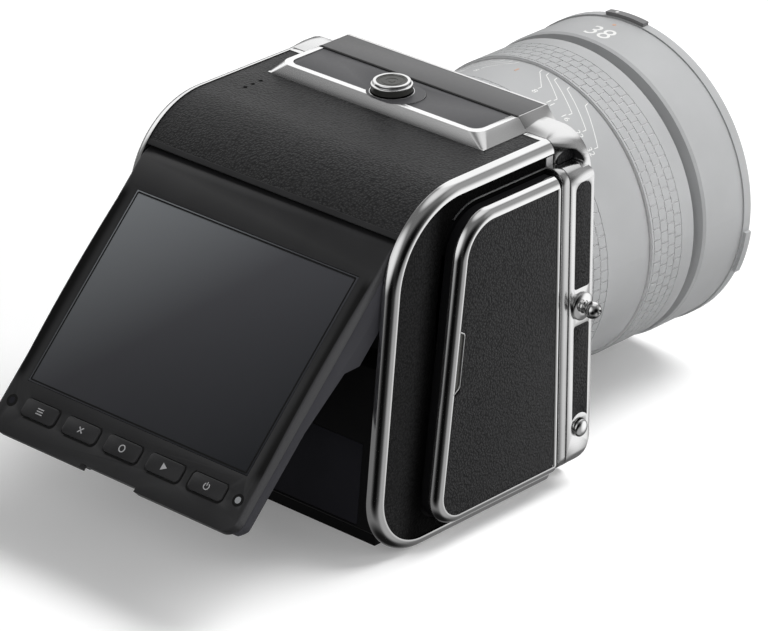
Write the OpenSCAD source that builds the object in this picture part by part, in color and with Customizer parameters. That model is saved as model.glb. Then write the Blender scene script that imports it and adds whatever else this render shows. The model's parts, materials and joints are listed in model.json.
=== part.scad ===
// Medium format digital camera: a digital back with a tilting screen on a thin body with a lens.
// Origin at the mouth of the tripod socket, +Y towards the lens, +X to the right seen from behind.

/* [Digital back] */
// Width of the back over its side trims
back_w = 84; // [76:0.5:92]
// Height of the back at its top trims
back_h = 86.6; // [80:0.2:94]
// Depth of the back at the base, from the dock plane
back_d = 60.5; // [56:0.5:66]
// Lean of the rear face, in degrees
rear_lean = 6; // [4:0.5:8]
// Radius of the upper rear edge
back_top_r = 23; // [20:0.5:26]
// Radius of the lower rear edge
back_low_r = 15.5; // [14:0.5:18]
// Radius of the rounded side trim
trim_r = 2.8; // [2.4:0.1:3.4]
// Width of the trim's flat lip
trim_lip = 0; // [0:0.1:1]
// Thickness of the top covering
cover_t = 0.8; // [0.5:0.1:1.2]
// Thickness of the side coverings
side_cover_t = 0.6; // [0.4:0.1:1]
// Height of the trims above the base
base_gap = 0.4; // [0.2:0.1:1]

/* [Side doors] */
// Thickness of a door
door_t = 5.1; // [4.4:0.1:7]
// Height from the door's upper edge to the top of the back
door_head = 6.4; // [5.4:0.2:9]
// Height of the door's lower edge
door_low = 5.6; // [5:0.2:9]
// Distance from the door's rear edge to the back's rear edge, at the base
door_inset = 14.6; // [13:0.2:18]
// Lean of the door's rear edge, in degrees
door_lean = 7.5; // [5:0.5:9]
// Radius of the door's upper rear corner
door_top_r = 11.3; // [8:0.1:14]
// Radius of the door's lower rear corner
door_low_r = 8; // [6:0.5:10]
// Radius of the door's bright edge
door_bead_r = 2.4; // [1.6:0.1:2.8]
// Radius of the door's hinge barrel
door_hinge_r = 0.8; // [0.6:0.1:1]
// Width of the bright strip between the door and the dock plane
strip_w = 2.4; // [1.8:0.1:3]
// Length of the finger catch on the door's rear edge
catch_l = 16; // [10:0.5:24]
// Width of the finger catch
catch_w = 1.8; // [1:0.1:2.6]

/* [Top plate] */
// Distance from the top plate's end to the side of the back
plate_margin = 8.3; // [7:0.1:12]
// Depth of the top plate at its foot
plate_d = 14.5; // [13.5:0.1:18]
// Height of the top plate above the back
plate_rise = 2.9; // [2:0.1:4]
// Inward slope of the plate's ends
plate_slope_x = 2.7; // [1.5:0.1:4]
// Inward slope of the plate's rear face
plate_slope_y = 0.9; // [0.4:0.1:2]
// Width of the bright border round the insert
plate_border = 1.6; // [1.2:0.1:2]
// Depth of the insert's recess
insert_depth = 1.2; // [0.8:0.1:1.6]
// Distance of the release knob behind the dock plane
knob_back = 8.5; // [8:0.1:9]
// Radius of the release knob
knob_r = 4.3; // [3.5:0.1:4.6]
// Height of the release knob above the plate
knob_rise = 2.8; // [2.2:0.1:4]
// Travel of the release knob
knob_travel = 2.5; // [1:0.1:3]

/* [Screen] */
// Angle of the screen to the vertical, in degrees
screen_angle = 45; // [10:1:90]
// Place of the hinge round the upper rear edge, in degrees from the top
hinge_turn = 64.15; // [62:0.05:66]
// Radius of the hinge pins
hinge_pin_r = 1.3; // [1:0.1:1.5]
// Distance from the hinge axis to the screen's face
face_n = 5.1; // [4.7:0.1:5.4]
// Height of the closed screen's lower edge
screen_low = 0.6; // [0.3:0.1:2]
// Thickness of the screen at its lower half
screen_t = 5.2; // [4.9:0.1:5.8]
// Thickness of the screen near the hinge
hump_t = 10.4; // [9:0.1:11]
// Thickness of the bezel
bezel_t = 2.4; // [2:0.1:2.6]
// Width of the lips along the bezel's sides
lip_w = 3.2; // [2:0.1:3.4]
// Height of the lips above the bezel, at their middles
lip_proud = 0.8; // [0.5:0.1:1.4]
// Width of the bezel beside the glass
bezel_side = 4.2; // [3.6:0.1:6]
// Distance from the hinge down to the glass
glass_drop = 7.6; // [7.2:0.1:9]
// Distance from the glass to the screen's lower edge
glass_foot = 13.4; // [12:0.1:16]
// Thickness of the cover glass
glass_t = 0.9; // [0.6:0.1:1.2]
// Distance from the outer buttons' middles to the screen's sides
button_side = 12.3; // [11:0.1:13]
// Gap between neighbouring buttons
button_gap = 2.8; // [2:0.1:4]
// Height of a button
button_h = 4.4; // [3:0.1:5]
// Distance from the row of buttons to the screen's lower edge
button_foot = 7.7; // [7:0.1:8.4]
// Travel of a button
button_travel = 0.5; // [0.2:0.05:0.6]

/* [Front body] */
// Depth of the front body at its sides
body_d = 8.2; // [7.6:0.1:10]
// Reach of the flange beyond the side of the back
flange_out = 4; // [3:0.1:5]
// Height of the flange above the back
flange_rise = 0.8; // [0.4:0.1:1.6]
// Thickness of the flange
flange_t = 2.8; // [2:0.1:3.4]
// Radius of the flange's upper corners
flange_r = 9; // [7:0.5:11]
// Depth of the crown over the lens
crown_d = 11; // [9.6:0.2:11.6]
// Height from the rails' upper ends to the top of the back
rail_head = 5.8; // [4.8:0.1:8]
// Radius of the rails' outer edges at their ends
rail_r = 3.6; // [2.5:0.1:4.5]
// Radius of the rails' upper front corners
rail_top_r = 3; // [2:0.1:5]
// Radius of the rails' lower front corners
rail_low_r = 7; // [4:0.1:7.4]
// Height of the strap lugs
lug_z = 46; // [40:0.5:52]
// Radius of a strap lug's stud
lug_r = 1.5; // [1.2:0.1:1.8]
// Height of the rail caps
cap_z = 15.4; // [13:0.2:17]
// Radius of a rail cap
cap_r = 2; // [1.5:0.1:2.3]
// Distance of the tripod socket in front of the dock plane
socket_front = 5.2; // [4.6:0.1:5.6]
// Radius of the tripod socket
socket_r = 3.15; // [2.6:0.05:3.4]
// Depth of the tripod socket
socket_depth = 4.2; // [3:0.1:4.6]

/* [Lens] */
// Height of the lens axis above the middle of the back
axis_lift = 0.9; // [0.5:0.1:1.5]
// Radius of the bayonet throat
throat_r = 24; // [21:0.5:26]
// Outer radius of the mount ring
mount_r = 31; // [30:0.5:33]
// Height of the lens's carrying tube above the base
tube_low = 10.8; // [9.6:0.1:12]
// Height of the knurled rings over the tube
ring_rise = 4.5; // [4:0.1:6]
// Height of the scale sleeve over the tube
scale_rise = 3.8; // [3:0.1:5]
// Height of the front barrel over the tube
barrel_rise = 5.1; // [4.4:0.1:6]
// Height of the front rim over the front barrel
rim_rise = 0.4; // [0.3:0.1:0.8]
// Wall of the front rim over the filter thread
rim_wall = 2.9; // [2:0.1:4]
// Width of the lens foot
foot_w = 2.4; // [1.6:0.1:4]
// Width of the control ring
control_w = 13.4; // [10:0.1:16]
// Width of the scale sleeve
scale_w = 14.4; // [12:0.1:18]
// Width of the focus ring
focus_w = 15; // [12:0.1:18]
// Width of the open groove in front of the focus ring
groove_w = 3.2; // [3.05:0.05:5]
// Width of the front barrel
barrel_w = 14.4; // [12:0.1:18]
// Width of the front rim
rim_w = 2.4; // [2:0.1:5]
// Number of bricks round a knurled ring
knurl_n = 84; // [60:6:96]
// Depth of the knurl
knurl_depth = 0.4; // [0.3:0.1:0.8]
// Width of the knurled band
knurl_w = 10; // [7:0.1:11]

/* [Clearances] */
// Gap between fixed neighbours
seat_gap = 0.05; // [0.02:0.01:0.08]
// Gap round moving pieces
run_gap = 0.3; // [0.25:0.01:0.35]
// Radial gap of a running fit
fit_gap = 0.05; // [0.03:0.01:0.08]

/* [Hidden] */
$fn = 64;
eps = 0.01;
far = 200;
// Steps of an arc and of a bead's rounded section
arc_n = 14;
bead_n = 9;

// Colours
black_cast = "#1b1b1d";
leather = "#232325";
bright = "#c9cacc";
slate = "#5c5c60";
screen_black = "#141416";
shell_black = "#2a2a2e";
knob_olive = "#3c3c38";
board_green = "#1f4a34";
sensor_violet = "#3b3a55";
filter_blue = "#6f8f9a";
lamp_grey = "#b8babd";
lens_grey = "#a5a6a8";
groove_grey = "#77787a";
glass_blue = "#27313a";

// Digital back
dock_y = -socket_front;
cheek_x = back_w / 2 - trim_r - trim_lip;
cover_drop = 0.2;
housing_inset = cover_drop + cover_t + seat_gap;
side_drop = 0.4;
side_x = back_w / 2 - side_drop;
wall_x = side_x - side_cover_t - seat_gap;
back_tc = arc_centre(back_d, rear_lean, back_top_r, back_h - back_top_r);
back_lc = arc_centre(back_d, rear_lean, back_low_r, base_gap + back_low_r);
mic_r = 0.5;
mic_pitch = 2.55;
mic_x = cheek_x - 7.9;
mic_back = plate_d + 4.9;

// Screen and its bay
pin_wall = 0.55;
pin_l = 5;
pin_end = 0.9;
hinge_reach = back_top_r - trim_r - hinge_pin_r - pin_wall;
hinge_place = back_tc + hinge_reach * [cos(90 + hinge_turn), sin(90 + hinge_turn)];
hinge_back = -hinge_place[0];
hinge_z = hinge_place[1];
screen_w = 2 * (cheek_x - run_gap);
screen_l = (hinge_z - screen_low) / cos(rear_lean);
screen_r = 4;
glass_w = screen_w - 2 * bezel_side;
glass_h = screen_l - glass_drop - glass_foot;
glass_y = -glass_drop - glass_h / 2;
glass_gap = 0.1;
button_y = button_foot - screen_l;
button_pitch = (screen_w - 2 * button_side) / 4;
button_w = button_pitch - button_gap;
button_deep = 1.9;
button_proud = 0.35;
button_corner = 1.2;
board_t = 1;
board_h = 6.6;
board_w = screen_w - 2.4;
lamp_r = 1;
lamp_x = screen_w / 2 - 2.9;
lift_notch_w = 17.4;
lift_notch_d = 1;
shell_top_n = face_n - bezel_t - seat_gap;
shell_low_n = face_n - screen_t;
barrel_bore = face_n - bezel_t + 0.8;
hump_n = face_n - hump_t;
hump_y = -24;
swell_y = -27.5;
swell = 1.9;
flat_y = -43.5;
crest_y = -6;
crest_drop = 3.4;
neck_y = -1;
bay_gap = 0.7;
bay_lag = 1.2;
bay_x = cheek_x + seat_gap;
lip_gap = 0.2;
lip_rise = face_n + bay_gap + lip_gap;
lip_z = hinge_z + lip_rise;
ledge_d = 6.4;
ledge_x = cheek_x - 6;
ledge_h = 3.8;
lip_n = 12;
lip_over = 2;
lip_edge = 0.5;
panel_w = cheek_x - 8;
panel_deep = 1.2;
panel_low = 5.4 - screen_l;
panel_top = flat_y - 2.5;

// Doors, and the bays behind them
door_base_x = side_x + run_gap;
door_x = door_base_x + door_t;
door_top = back_h - door_head;
door_d = back_d - door_inset;
door_bead_x = door_x - door_bead_r;
door_skin_t = 0.5;
skin_corner = 1.2;
door_step = 0.4;
door_rim = 4;
door_hollow = 1.2;
door_hinge_x = door_x - door_hinge_r;
door_hinge_d = strip_w + run_gap + door_hinge_r;
door_front = door_hinge_d - door_hinge_r / 2;
door_skin_front = door_hinge_d + door_hinge_r + seat_gap;
door_tc = arc_centre(door_d, door_lean, door_top_r, door_top - door_top_r);
door_lc = arc_centre(door_d, door_lean, door_low_r, door_low + door_low_r);
catch_z = (door_top + door_low) / 2 + 3;
catch_taper = 1.6;
catch_gap = 0.1;
store_x = 11;
store_front = 18;
store_back = back_d - 22.5;
store_low = 14;
store_top = door_top - 10.2;
store_gap = 0.2;
card_low = 30;
card_w = 3.4;
port_w = 3;

// Top plate and knob
plate_w = back_w - 2 * plate_margin;
plate_h = back_h + plate_rise;
frame_foot = back_h - housing_inset + seat_gap;
foot_r = 1.2;
insert_x = plate_w / 2 - plate_slope_x - plate_border;
insert_back = plate_d - plate_slope_y - plate_border;
insert_r = 2.6;
insert_gap = 0.1;
insert_drop = 0.15;
knob_top = plate_h + knob_rise;
knob_flange = 0.6;
knob_edge = 0.4;
cap_deep = 0.5;
cap_rim = 0.7;
boss_r = knob_r + 1.7;
stem_r = 2;
stem_foot = frame_foot + 0.5;

// Imaging pieces inside the back
sensor_x = cheek_x - 9;
sensor_low = 10;
sensor_top = back_h - 8.6;
sensor_back = 8;
sensor_t = 3;
window_x = sensor_x - 7;
window_h = 33;
window_deep = 0.4;
filter_x = sensor_x - 3;
filter_h = 41;
filter_t = 1.6;
mainboard_back = 14.6;
mainboard_t = 1.6;
chip = 24;

// Front body
body_gap = 0.25;
flange_w = back_w + 2 * flange_out;
flange_top = back_h + flange_rise;
flange_y = body_d - flange_t;
foot_corner = 6;
flange_foot = 10;
rail_top = back_h - rail_head;
strip_rise = 0.4;
rail_y = 4.6;
core_low = 7;
core_r = 3;
shoulder_z = rail_top + 3.4;
arch_low = rail_top + seat_gap;
arch_x = back_w / 2 - 0.5;
arch_back = 0.5;
arch_front = flange_y + 0.8;
arch_r = (arch_front - arch_back) / 2 - eps;
crown_x = plate_w / 2;
crown_wall = 1.6;
crown_deep = 0.8;
crown_lap = 2;
pocket_deep = 0.5;
pocket_w = 5.2;
pocket_r = 2.2;
pocket_corner = 0.7;
pocket_gap = 0.1;
pocket_drop = 0.3;
lug_room = 4.6;
cap_room = 3.3;
stud_l = 3;
lug_collar = 3.4;
lug_ball = 2.1;
skin_t = 0.5;
skin_r = 5;
base_x = cheek_x - 7.2;
base_top = core_low - 0.1;
toe_h = 4.6;
shutter_x = cheek_x - 5.2;
shutter_z = 12.6;
stem_shutter = 2.4;
shutter_cap = 3.3;
dial_r = 5.8;
dial_t = 2.8;
dial_n = 36;
dial_knurl = 0.35;
release_x = 5.7 - cheek_x;
release_z = 17;
release_r = 2.8;

// Lens
axis_z = back_h / 2 + axis_lift;
mount_t = 2.3;
mount_deep = 1.6;
throat_wall = 3;
lens_seat = body_d + 1;
tube_r = axis_z - tube_low;
seat_rise = 0.2;
ring_r = tube_r + ring_rise;
scale_r = tube_r + scale_rise;
barrel_r = tube_r + barrel_rise;
rim_r = barrel_r + rim_rise;
filter_r = rim_r - rim_wall;
foot_end = lens_seat + foot_w;
control_end = foot_end + run_gap + control_w;
scale_end = control_end + run_gap + scale_w;
focus_end = scale_end + run_gap + focus_w;
groove_end = focus_end + groove_w;
front_end = groove_end + barrel_w;
rim_end = front_end + rim_w;
bayonet_r = throat_r - fit_gap;
bayonet_end = 4.6;
ring_bore = tube_r + fit_gap;
sleeve_t = 1.6;
knurl_gap = 0.2;
knurl_rows = 4;
knurl_side = 0.06;
knurl_lead = 0.8;
bore_r = tube_r - 2.4;
rear_bore = throat_r - 7;
rear_t = 5;
glass_seat = front_end - 10;
glass_r = bore_r - 0.5;
glass_wall = bore_r - 0.4;
dome = 5;
tab_rise = 0.9;
tab_w = 1.9;
tab_turn = 17;
iris_r = 11;
iris_from = control_end + 4.7;
iris_t = 8;

// Centre of an arc of radius r, at height z, that touches the leaning rear line
function arc_centre(depth, lean, r, z) = [-depth + (r + z * sin(lean)) / cos(lean), z];
function spot(c, r, a) = c + r * [cos(a), sin(a)];
function arc(c, r, a0, a1) = [for (i = [0:arc_n]) spot(c, r, a0 + (a1 - a0) * i / arc_n)];
function back_outline(inset, front = 0) = concat(
    [[front, base_gap + inset], [front, back_h - inset]],
    arc(back_tc, back_top_r - inset, 90, 180 - rear_lean),
    arc(back_lc, back_low_r - inset, 180 - rear_lean, 270));
function door_outline(inset, front) = concat(
    [[-front, door_low + inset], [-front, door_top - inset]],
    arc(door_tc, door_top_r - inset, 90, 180 - door_lean),
    arc(door_lc, door_low_r - inset, 180 - door_lean, 270));
// The same outline with its front corners rounded, for the covering
function skin_outline(inset, front) = concat(
    arc([-front - skin_corner, door_low + inset + skin_corner], skin_corner, 270, 360),
    arc([-front - skin_corner, door_top - inset - skin_corner], skin_corner, 0, 90),
    arc(door_tc, door_top_r - inset, 90, 180 - door_lean),
    arc(door_lc, door_low_r - inset, 180 - door_lean, 270));
function round_rect(w, h, r) = concat(
    arc([w / 2 - r, h / 2 - r], r, 0, 90), arc([r - w / 2, h / 2 - r], r, 90, 180),
    arc([r - w / 2, r - h / 2], r, 180, 270), arc([w / 2 - r, r - h / 2], r, 270, 360));
// Outline of the front body, seen from the front
function corner_outline(half_w, top, low, r, low_r) = concat(
    arc([half_w - low_r, low + low_r], low_r, 270, 360), arc([half_w - r, top - r], r, 0, 90),
    arc([r - half_w, top - r], r, 90, 180), arc([low_r - half_w, low + low_r], low_r, 180, 270));
// Outline of the strips and rails on the body's sides, seen from the front
function rail_outline(x0, x1, top, low) = concat([[x0, low]],
    arc([x1 - rail_r, low + rail_r], rail_r, 270, 360), arc([x1 - rail_r, top - rail_r], rail_r, 0, 90),
    [[x0, top]]);
// Outline of a rail, seen from the side
function rail_profile() = concat([[0, door_low]],
    arc([body_d - rail_low_r, door_low + rail_low_r], rail_low_r, 270, 360),
    arc([body_d - rail_top_r, rail_top - rail_top_r], rail_top_r, 0, 90), [[0, rail_top]]);
// Upper, rear and lower edge of a side outline, as points and the directions of their normals
function edge_path(tc, tr, lc, lr, lean, front) = concat([[[-front, tc[1] + tr], 90]],
    [for (i = [0:arc_n]) let (a = 90 + (90 - lean) * i / arc_n) [spot(tc, tr, a), a]],
    [for (i = [0:arc_n]) let (a = 180 - lean + (90 + lean) * i / arc_n) [spot(lc, lr, a), a]],
    [[[-front, lc[1] - lr], 270]]);
// Quarter round section: x is outward from the edge, y is outward from the side
function bead_section(r, lip) = concat(lip > 0 ? [[-r, 0], [0, 0]] : [[-r, 0]],
    [for (i = [0:bead_n]) spot([-r, lip], r, 90 * i / bead_n)]);
// Ring outline with square notches, so that neighbouring rows can be laid like bricks
function rib_outline(r, deep, n, shift) = [for (i = [0:n - 1],
    p = [[knurl_side, 0], [0.5, 0], [1 - knurl_side, 0], [1 - knurl_side, 1], [1 + knurl_side, 1]])
    spot([0, 0], r - p[1] * deep, 360 * (i + p[0] + shift) / n)];

// Frames of reference
module at_dock() translate([0, dock_y, 0]) children();
module mirrored(left) mirror([left ? 1 : 0, 0, 0]) children();
module both_sides() for (left = [false, true]) mirrored(left) children();
// Plane of the side view: local x is forward, local y is up, and heights run along +X
module side_plane() rotate([90, 0, 90]) children();
// Plane of the front view: heights run along +Y from the dock plane
module front_plane(y0) translate([0, y0, 0]) mirror([0, 1, 0]) rotate([90, 0, 0]) children();
module along_x() rotate([0, 90, 0]) children();
module along_y() rotate([-90, 0, 0]) children();
module at_hinge(angle) translate([0, -hinge_back, hinge_z]) rotate([90 - angle, 0, 0]) children();
module in_screen() at_dock() at_hinge(screen_angle) children();
module in_lens() translate([0, dock_y, axis_z]) along_y() children();
module on_axis() translate([0, 0, axis_z]) along_y() children();

// Shapes that repeat
module side_plate(x0, x1, points) translate([x0, 0, 0]) side_plane()
    linear_extrude(x1 - x0) polygon(points);
module side_slab(half_w, points) side_plate(-half_w, half_w, points);
module front_plate(y0, y1, points) front_plane(y0) linear_extrude(y1 - y0) polygon(points);
module block(x0, x1, y0, y1, z0, z1) translate([x0, y0, z0]) cube([x1 - x0, y1 - y0, z1 - z0]);
module tube(r_out, r_in, z0, z1) translate([0, 0, z0]) difference() {
    cylinder(r = r_out, h = z1 - z0);
    translate([0, 0, -1]) cylinder(r = r_in, h = z1 - z0 + 2);
}
// A skin over equal rings of points, n to a ring
module loft(points, n) {
    last = len(points) / n - 1;
    skin = [for (i = [0:last - 1], j = [0:n - 1], half = [0, 1])
        let (a = i * n + j, b = i * n + (j + 1) % n)
        half == 0 ? [a, b, b + n] : [a, b + n, a + n]];
    start = [for (j = [n - 1:-1:0]) j];
    end = [for (j = [0:n - 1]) last * n + j];
    polyhedron(points, concat([start, end], skin));
}
// A section swept along a path of edge points, each with the direction of its outward normal
module edge_sweep(path, section, x0) loft([for (p = path, s = section)
    [x0 + s[1], p[0][0] + s[0] * cos(p[1]), p[0][1] + s[0] * sin(p[1])]], len(section));

// Digital back
module screen_bay() at_hinge(rear_lean) {
    deep = shell_low_n - bay_gap;
    hump = hump_n - bay_gap;
    rise = lip_rise * cos(rear_lean);
    side_slab(bay_x, [[-far / 2, deep], [flat_y - bay_lag, deep],
        [swell_y - bay_lag, deep - swell - bay_gap / 2],
        [hump_y - bay_lag, hump], [2 * neck_y, hump], [rise + neck_y, hump + ledge_h], [rise, 0],
        [rise, far], [-far / 2, far]]);
    along_x() cylinder(r = face_n + bay_gap, h = 2 * bay_x, center = true);
}
module bay_recess(gap, lift) {
    floor_n = shell_low_n - bay_gap;
    block(gap - panel_w, panel_w - gap, panel_low + gap, panel_top - gap,
        floor_n - panel_deep, floor_n + lift);
}
module battery_bay(gap) block(-wall_x - 1, gap - store_x, -store_back - gap, gap - store_front,
    store_low - gap, store_top + gap);
module card_bay() block(store_x, wall_x + 1, -store_back, -store_front, store_low, store_top);
module back_housing() color(black_cast) at_dock() difference() {
    union() {
        side_slab(cheek_x, back_outline(housing_inset));
        side_slab(wall_x, back_outline(trim_r + seat_gap));
        block(-ledge_x, ledge_x, back_lc[0] - ledge_d, 0, 0, ledge_h);
    }
    screen_bay();
    battery_bay(0);
    card_bay();
    block(-sensor_x, sensor_x, -mainboard_back - sensor_t / 2, 1, sensor_low, sensor_top);
    at_hinge(rear_lean) bay_recess(0, 1);
    at_hinge(rear_lean) along_x()
        cylinder(r = hinge_pin_r + seat_gap, h = 2 * (wall_x - pin_end), center = true);
    translate([0, -knob_back, 0]) knob_slot(stem_r + run_gap, stem_foot - 1, back_h);
}
module top_covering() color(leather) at_dock() difference() {
    side_slab(cheek_x - seat_gap, back_outline(cover_drop));
    side_slab(cheek_x + 1, back_outline(housing_inset - seat_gap, 1));
    block(-far, far, -far, far, -far, lip_z);
    plate_foot(seat_gap, frame_foot - 1, back_h + 1);
    for (i = [0:2]) translate([-mic_x, mic_pitch * i - mic_back - 2 * mic_pitch, back_h - 3])
        cylinder(r = mic_r, h = 4);
}
module side_covering() color(leather) at_dock() difference() {
    side_plate(wall_x + seat_gap, side_x, back_outline(trim_r + seat_gap, -strip_w - seat_gap));
    side_plate(wall_x - 1, side_x + 1, door_outline(-store_gap, strip_w - 1));
}
module right_side_covering() side_covering();
module left_side_covering() mirrored(true) side_covering();
module side_trim() color(bright) at_dock()
    edge_sweep(edge_path(back_tc, back_top_r, back_lc, back_low_r, rear_lean, 0),
        bead_section(trim_r, trim_lip), cheek_x);
module right_side_trim() side_trim();
module left_side_trim() mirrored(true) side_trim();
module dock_strips() color(bright) at_dock() both_sides()
    front_plate(-strip_w, 0, rail_outline(wall_x + seat_gap, door_x, rail_top + strip_rise, door_low));

// Side doors
module catch_plate(x0, x1, grow) translate([0, catch_z * tan(door_lean) - door_d, catch_z])
    rotate([-door_lean, 0, 0]) side_plate(x0, x1, [
        [door_bead_r - catch_gap, -catch_l / 2 - grow],
        [door_bead_r + catch_w + grow, catch_taper - catch_l / 2 - grow],
        [door_bead_r + catch_w + grow, catch_l / 2 - catch_taper + grow],
        [door_bead_r - catch_gap, catch_l / 2 + grow]]);
module door_shell() color(black_cast) at_dock() difference() {
    union() {
        side_plate(door_base_x, door_bead_x - seat_gap, door_outline(door_step, door_front));
        side_plate(door_base_x, door_x - door_skin_t - seat_gap,
            door_outline(door_bead_r + seat_gap, door_skin_front));
    }
    side_plate(door_base_x - 1, door_base_x + door_hollow, door_outline(door_rim, door_hinge_d + 3));
    translate([door_hinge_x, -door_hinge_d, 0]) cylinder(r = door_hinge_r + seat_gap, h = far);
}
module door_trim() color(bright) at_dock() {
    edge_sweep(edge_path(door_tc, door_top_r, door_lc, door_low_r, door_lean, door_hinge_d),
        bead_section(door_bead_r, 0), door_bead_x);
    catch_plate(door_x - door_skin_t, door_x - catch_gap, 0);
    translate([door_hinge_x, -door_hinge_d, door_low + door_bead_r])
        cylinder(r = door_hinge_r, h = door_top - door_low - 2 * door_bead_r);
}
module door_covering() color(leather) at_dock() difference() {
    side_plate(door_x - door_skin_t, door_x, skin_outline(door_bead_r + seat_gap, door_skin_front));
    catch_plate(door_x - 1, door_x + 1, catch_gap);
}
module right_door_shell() door_shell();
module right_door_trim() door_trim();
module right_door_covering() door_covering();
module left_door_shell() mirrored(true) door_shell();
module left_door_trim() mirrored(true) door_trim();
module left_door_covering() mirrored(true) door_covering();

// Top plate and release knob
module plate_foot(gap, z0, z1) block(-plate_w / 2 - gap, plate_w / 2 + gap, -plate_d - gap, 1, z0, z1);
module plate_level(w, d, r, z) translate([0, 0, z]) linear_extrude(eps) intersection() {
    polygon(round_rect(w, 2 * d, r));
    translate([-w, -far]) square([2 * w, far]);
}
module knob_slot(r, z0, z1) {
    translate([0, 0, z0]) cylinder(r = r, h = z1 - z0);
    translate([knob_travel, 0, z0]) cylinder(r = r, h = z1 - z0);
    translate([0, -r, z0]) cube([knob_travel, 2 * r, z1 - z0]);
}
module insert_area(gap, z0, z1) difference() {
    translate([0, 0, z0]) linear_extrude(z1 - z0) intersection() {
        polygon(round_rect(2 * (insert_x - gap), 2 * (insert_back - gap), insert_r));
        translate([-far, -far]) square([2 * far, far - gap]);
    }
    translate([0, -knob_back, z0 - 1]) knob_slot(boss_r + gap, 0, z1 - z0 + 2);
}
module top_plate_frame() color(bright) at_dock() difference() {
    union() {
        block(-plate_w / 2, plate_w / 2, -plate_d, 0, frame_foot, back_h);
        hull() {
            plate_level(plate_w, plate_d, foot_r, back_h - eps);
            plate_level(plate_w - 2 * plate_slope_x, plate_d - plate_slope_y, insert_r + foot_r / 2,
                plate_h - eps);
        }
    }
    insert_area(0, plate_h - insert_depth, plate_h + 1);
    translate([0, -knob_back, 0]) knob_slot(stem_r + run_gap, frame_foot - 1, plate_h + 1);
}
module top_plate_insert() color(slate) at_dock()
    insert_area(insert_gap, plate_h - insert_depth, plate_h - insert_drop);
module in_knob() translate([0, dock_y - knob_back, 0]) children();
module release_knob() color(knob_olive) in_knob() difference() {
    foot = plate_h + run_gap;
    skirt = foot + (knob_top - foot) / 3;
    rotate_extrude() polygon([[0, stem_foot], [stem_r, stem_foot], [stem_r, foot],
        [knob_r + knob_flange, foot], [knob_r + knob_flange, skirt], [knob_r, skirt + knob_edge],
        [knob_r, knob_top - knob_edge], [knob_r - knob_edge, knob_top], [0, knob_top]]);
    translate([0, 0, knob_top - cap_deep]) cylinder(r = knob_r - cap_rim, h = 2);
}
module release_knob_cap() color(slate) in_knob() translate([0, 0, knob_top - cap_deep])
    cylinder(r = knob_r - cap_rim - seat_gap, h = cap_deep - insert_drop);

// Inside the back
module bay_panel() color(shell_black) at_dock() at_hinge(rear_lean) bay_recess(insert_gap, 0);
module hinge_pins() color(bright) at_dock() at_hinge(rear_lean) both_sides()
    translate([wall_x - pin_end - seat_gap - pin_l, 0, 0]) along_x() cylinder(r = hinge_pin_r, h = pin_l);
module image_sensor() color(sensor_violet) at_dock() difference() {
    block(-sensor_x, sensor_x, -sensor_back, sensor_t - sensor_back, sensor_low, sensor_top);
    block(-window_x, window_x, sensor_t - sensor_back - window_deep, 0,
        axis_z - window_h / 2, axis_z + window_h / 2);
}
module sensor_filter() color(filter_blue) at_dock() block(-filter_x, filter_x, sensor_t - sensor_back,
    sensor_t - sensor_back + filter_t, axis_z - filter_h / 2, axis_z + filter_h / 2);
module main_board() color(board_green) at_dock() {
    block(-sensor_x, sensor_x, -mainboard_back, mainboard_t - mainboard_back, sensor_low, sensor_top);
    block(-chip / 2, chip / 2, mainboard_t - mainboard_back, -sensor_back,
        axis_z - chip / 2, axis_z + chip / 2);
}
module battery() color(shell_black) at_dock() difference() {
    battery_bay(-store_gap);
    block(-far, 3 * store_gap - wall_x, -far, far, -far, far);
}
module card_slot() color(shell_black) at_dock() difference() {
    block(store_x, cheek_x - 1, -store_back, -store_front, card_low, store_top);
    for (share = [0.2, 0.6]) translate([0, share * (store_back - store_front) - store_back, 0])
        block(2 * store_x, cheek_x, 0, card_w, card_low + 6, store_top - 9);
}
module usb_port() color(lamp_grey) at_dock() difference() {
    middle = (store_front + store_back) / 2;
    block(store_x, cheek_x - 1, -store_back, -store_front, store_low, card_low - store_gap);
    block(cheek_x - 8, cheek_x, -middle - port_w / 2, port_w / 2 - middle, store_low + 3, card_low - 4);
}

// Screen
function screen_outline() = concat([[-screen_w / 2, 0]],
    arc([screen_r - screen_w / 2, screen_r - screen_l], screen_r, 180, 270),
    arc([screen_w / 2 - screen_r, screen_r - screen_l], screen_r, 270, 360), [[screen_w / 2, 0]]);
module button_place(i) translate([(i - 2) * button_pitch, button_y, 0]) children();
module lift_notch(deep) translate([0, -screen_l, 0]) cube([lift_notch_w, 2 * deep, far], center = true);
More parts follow.
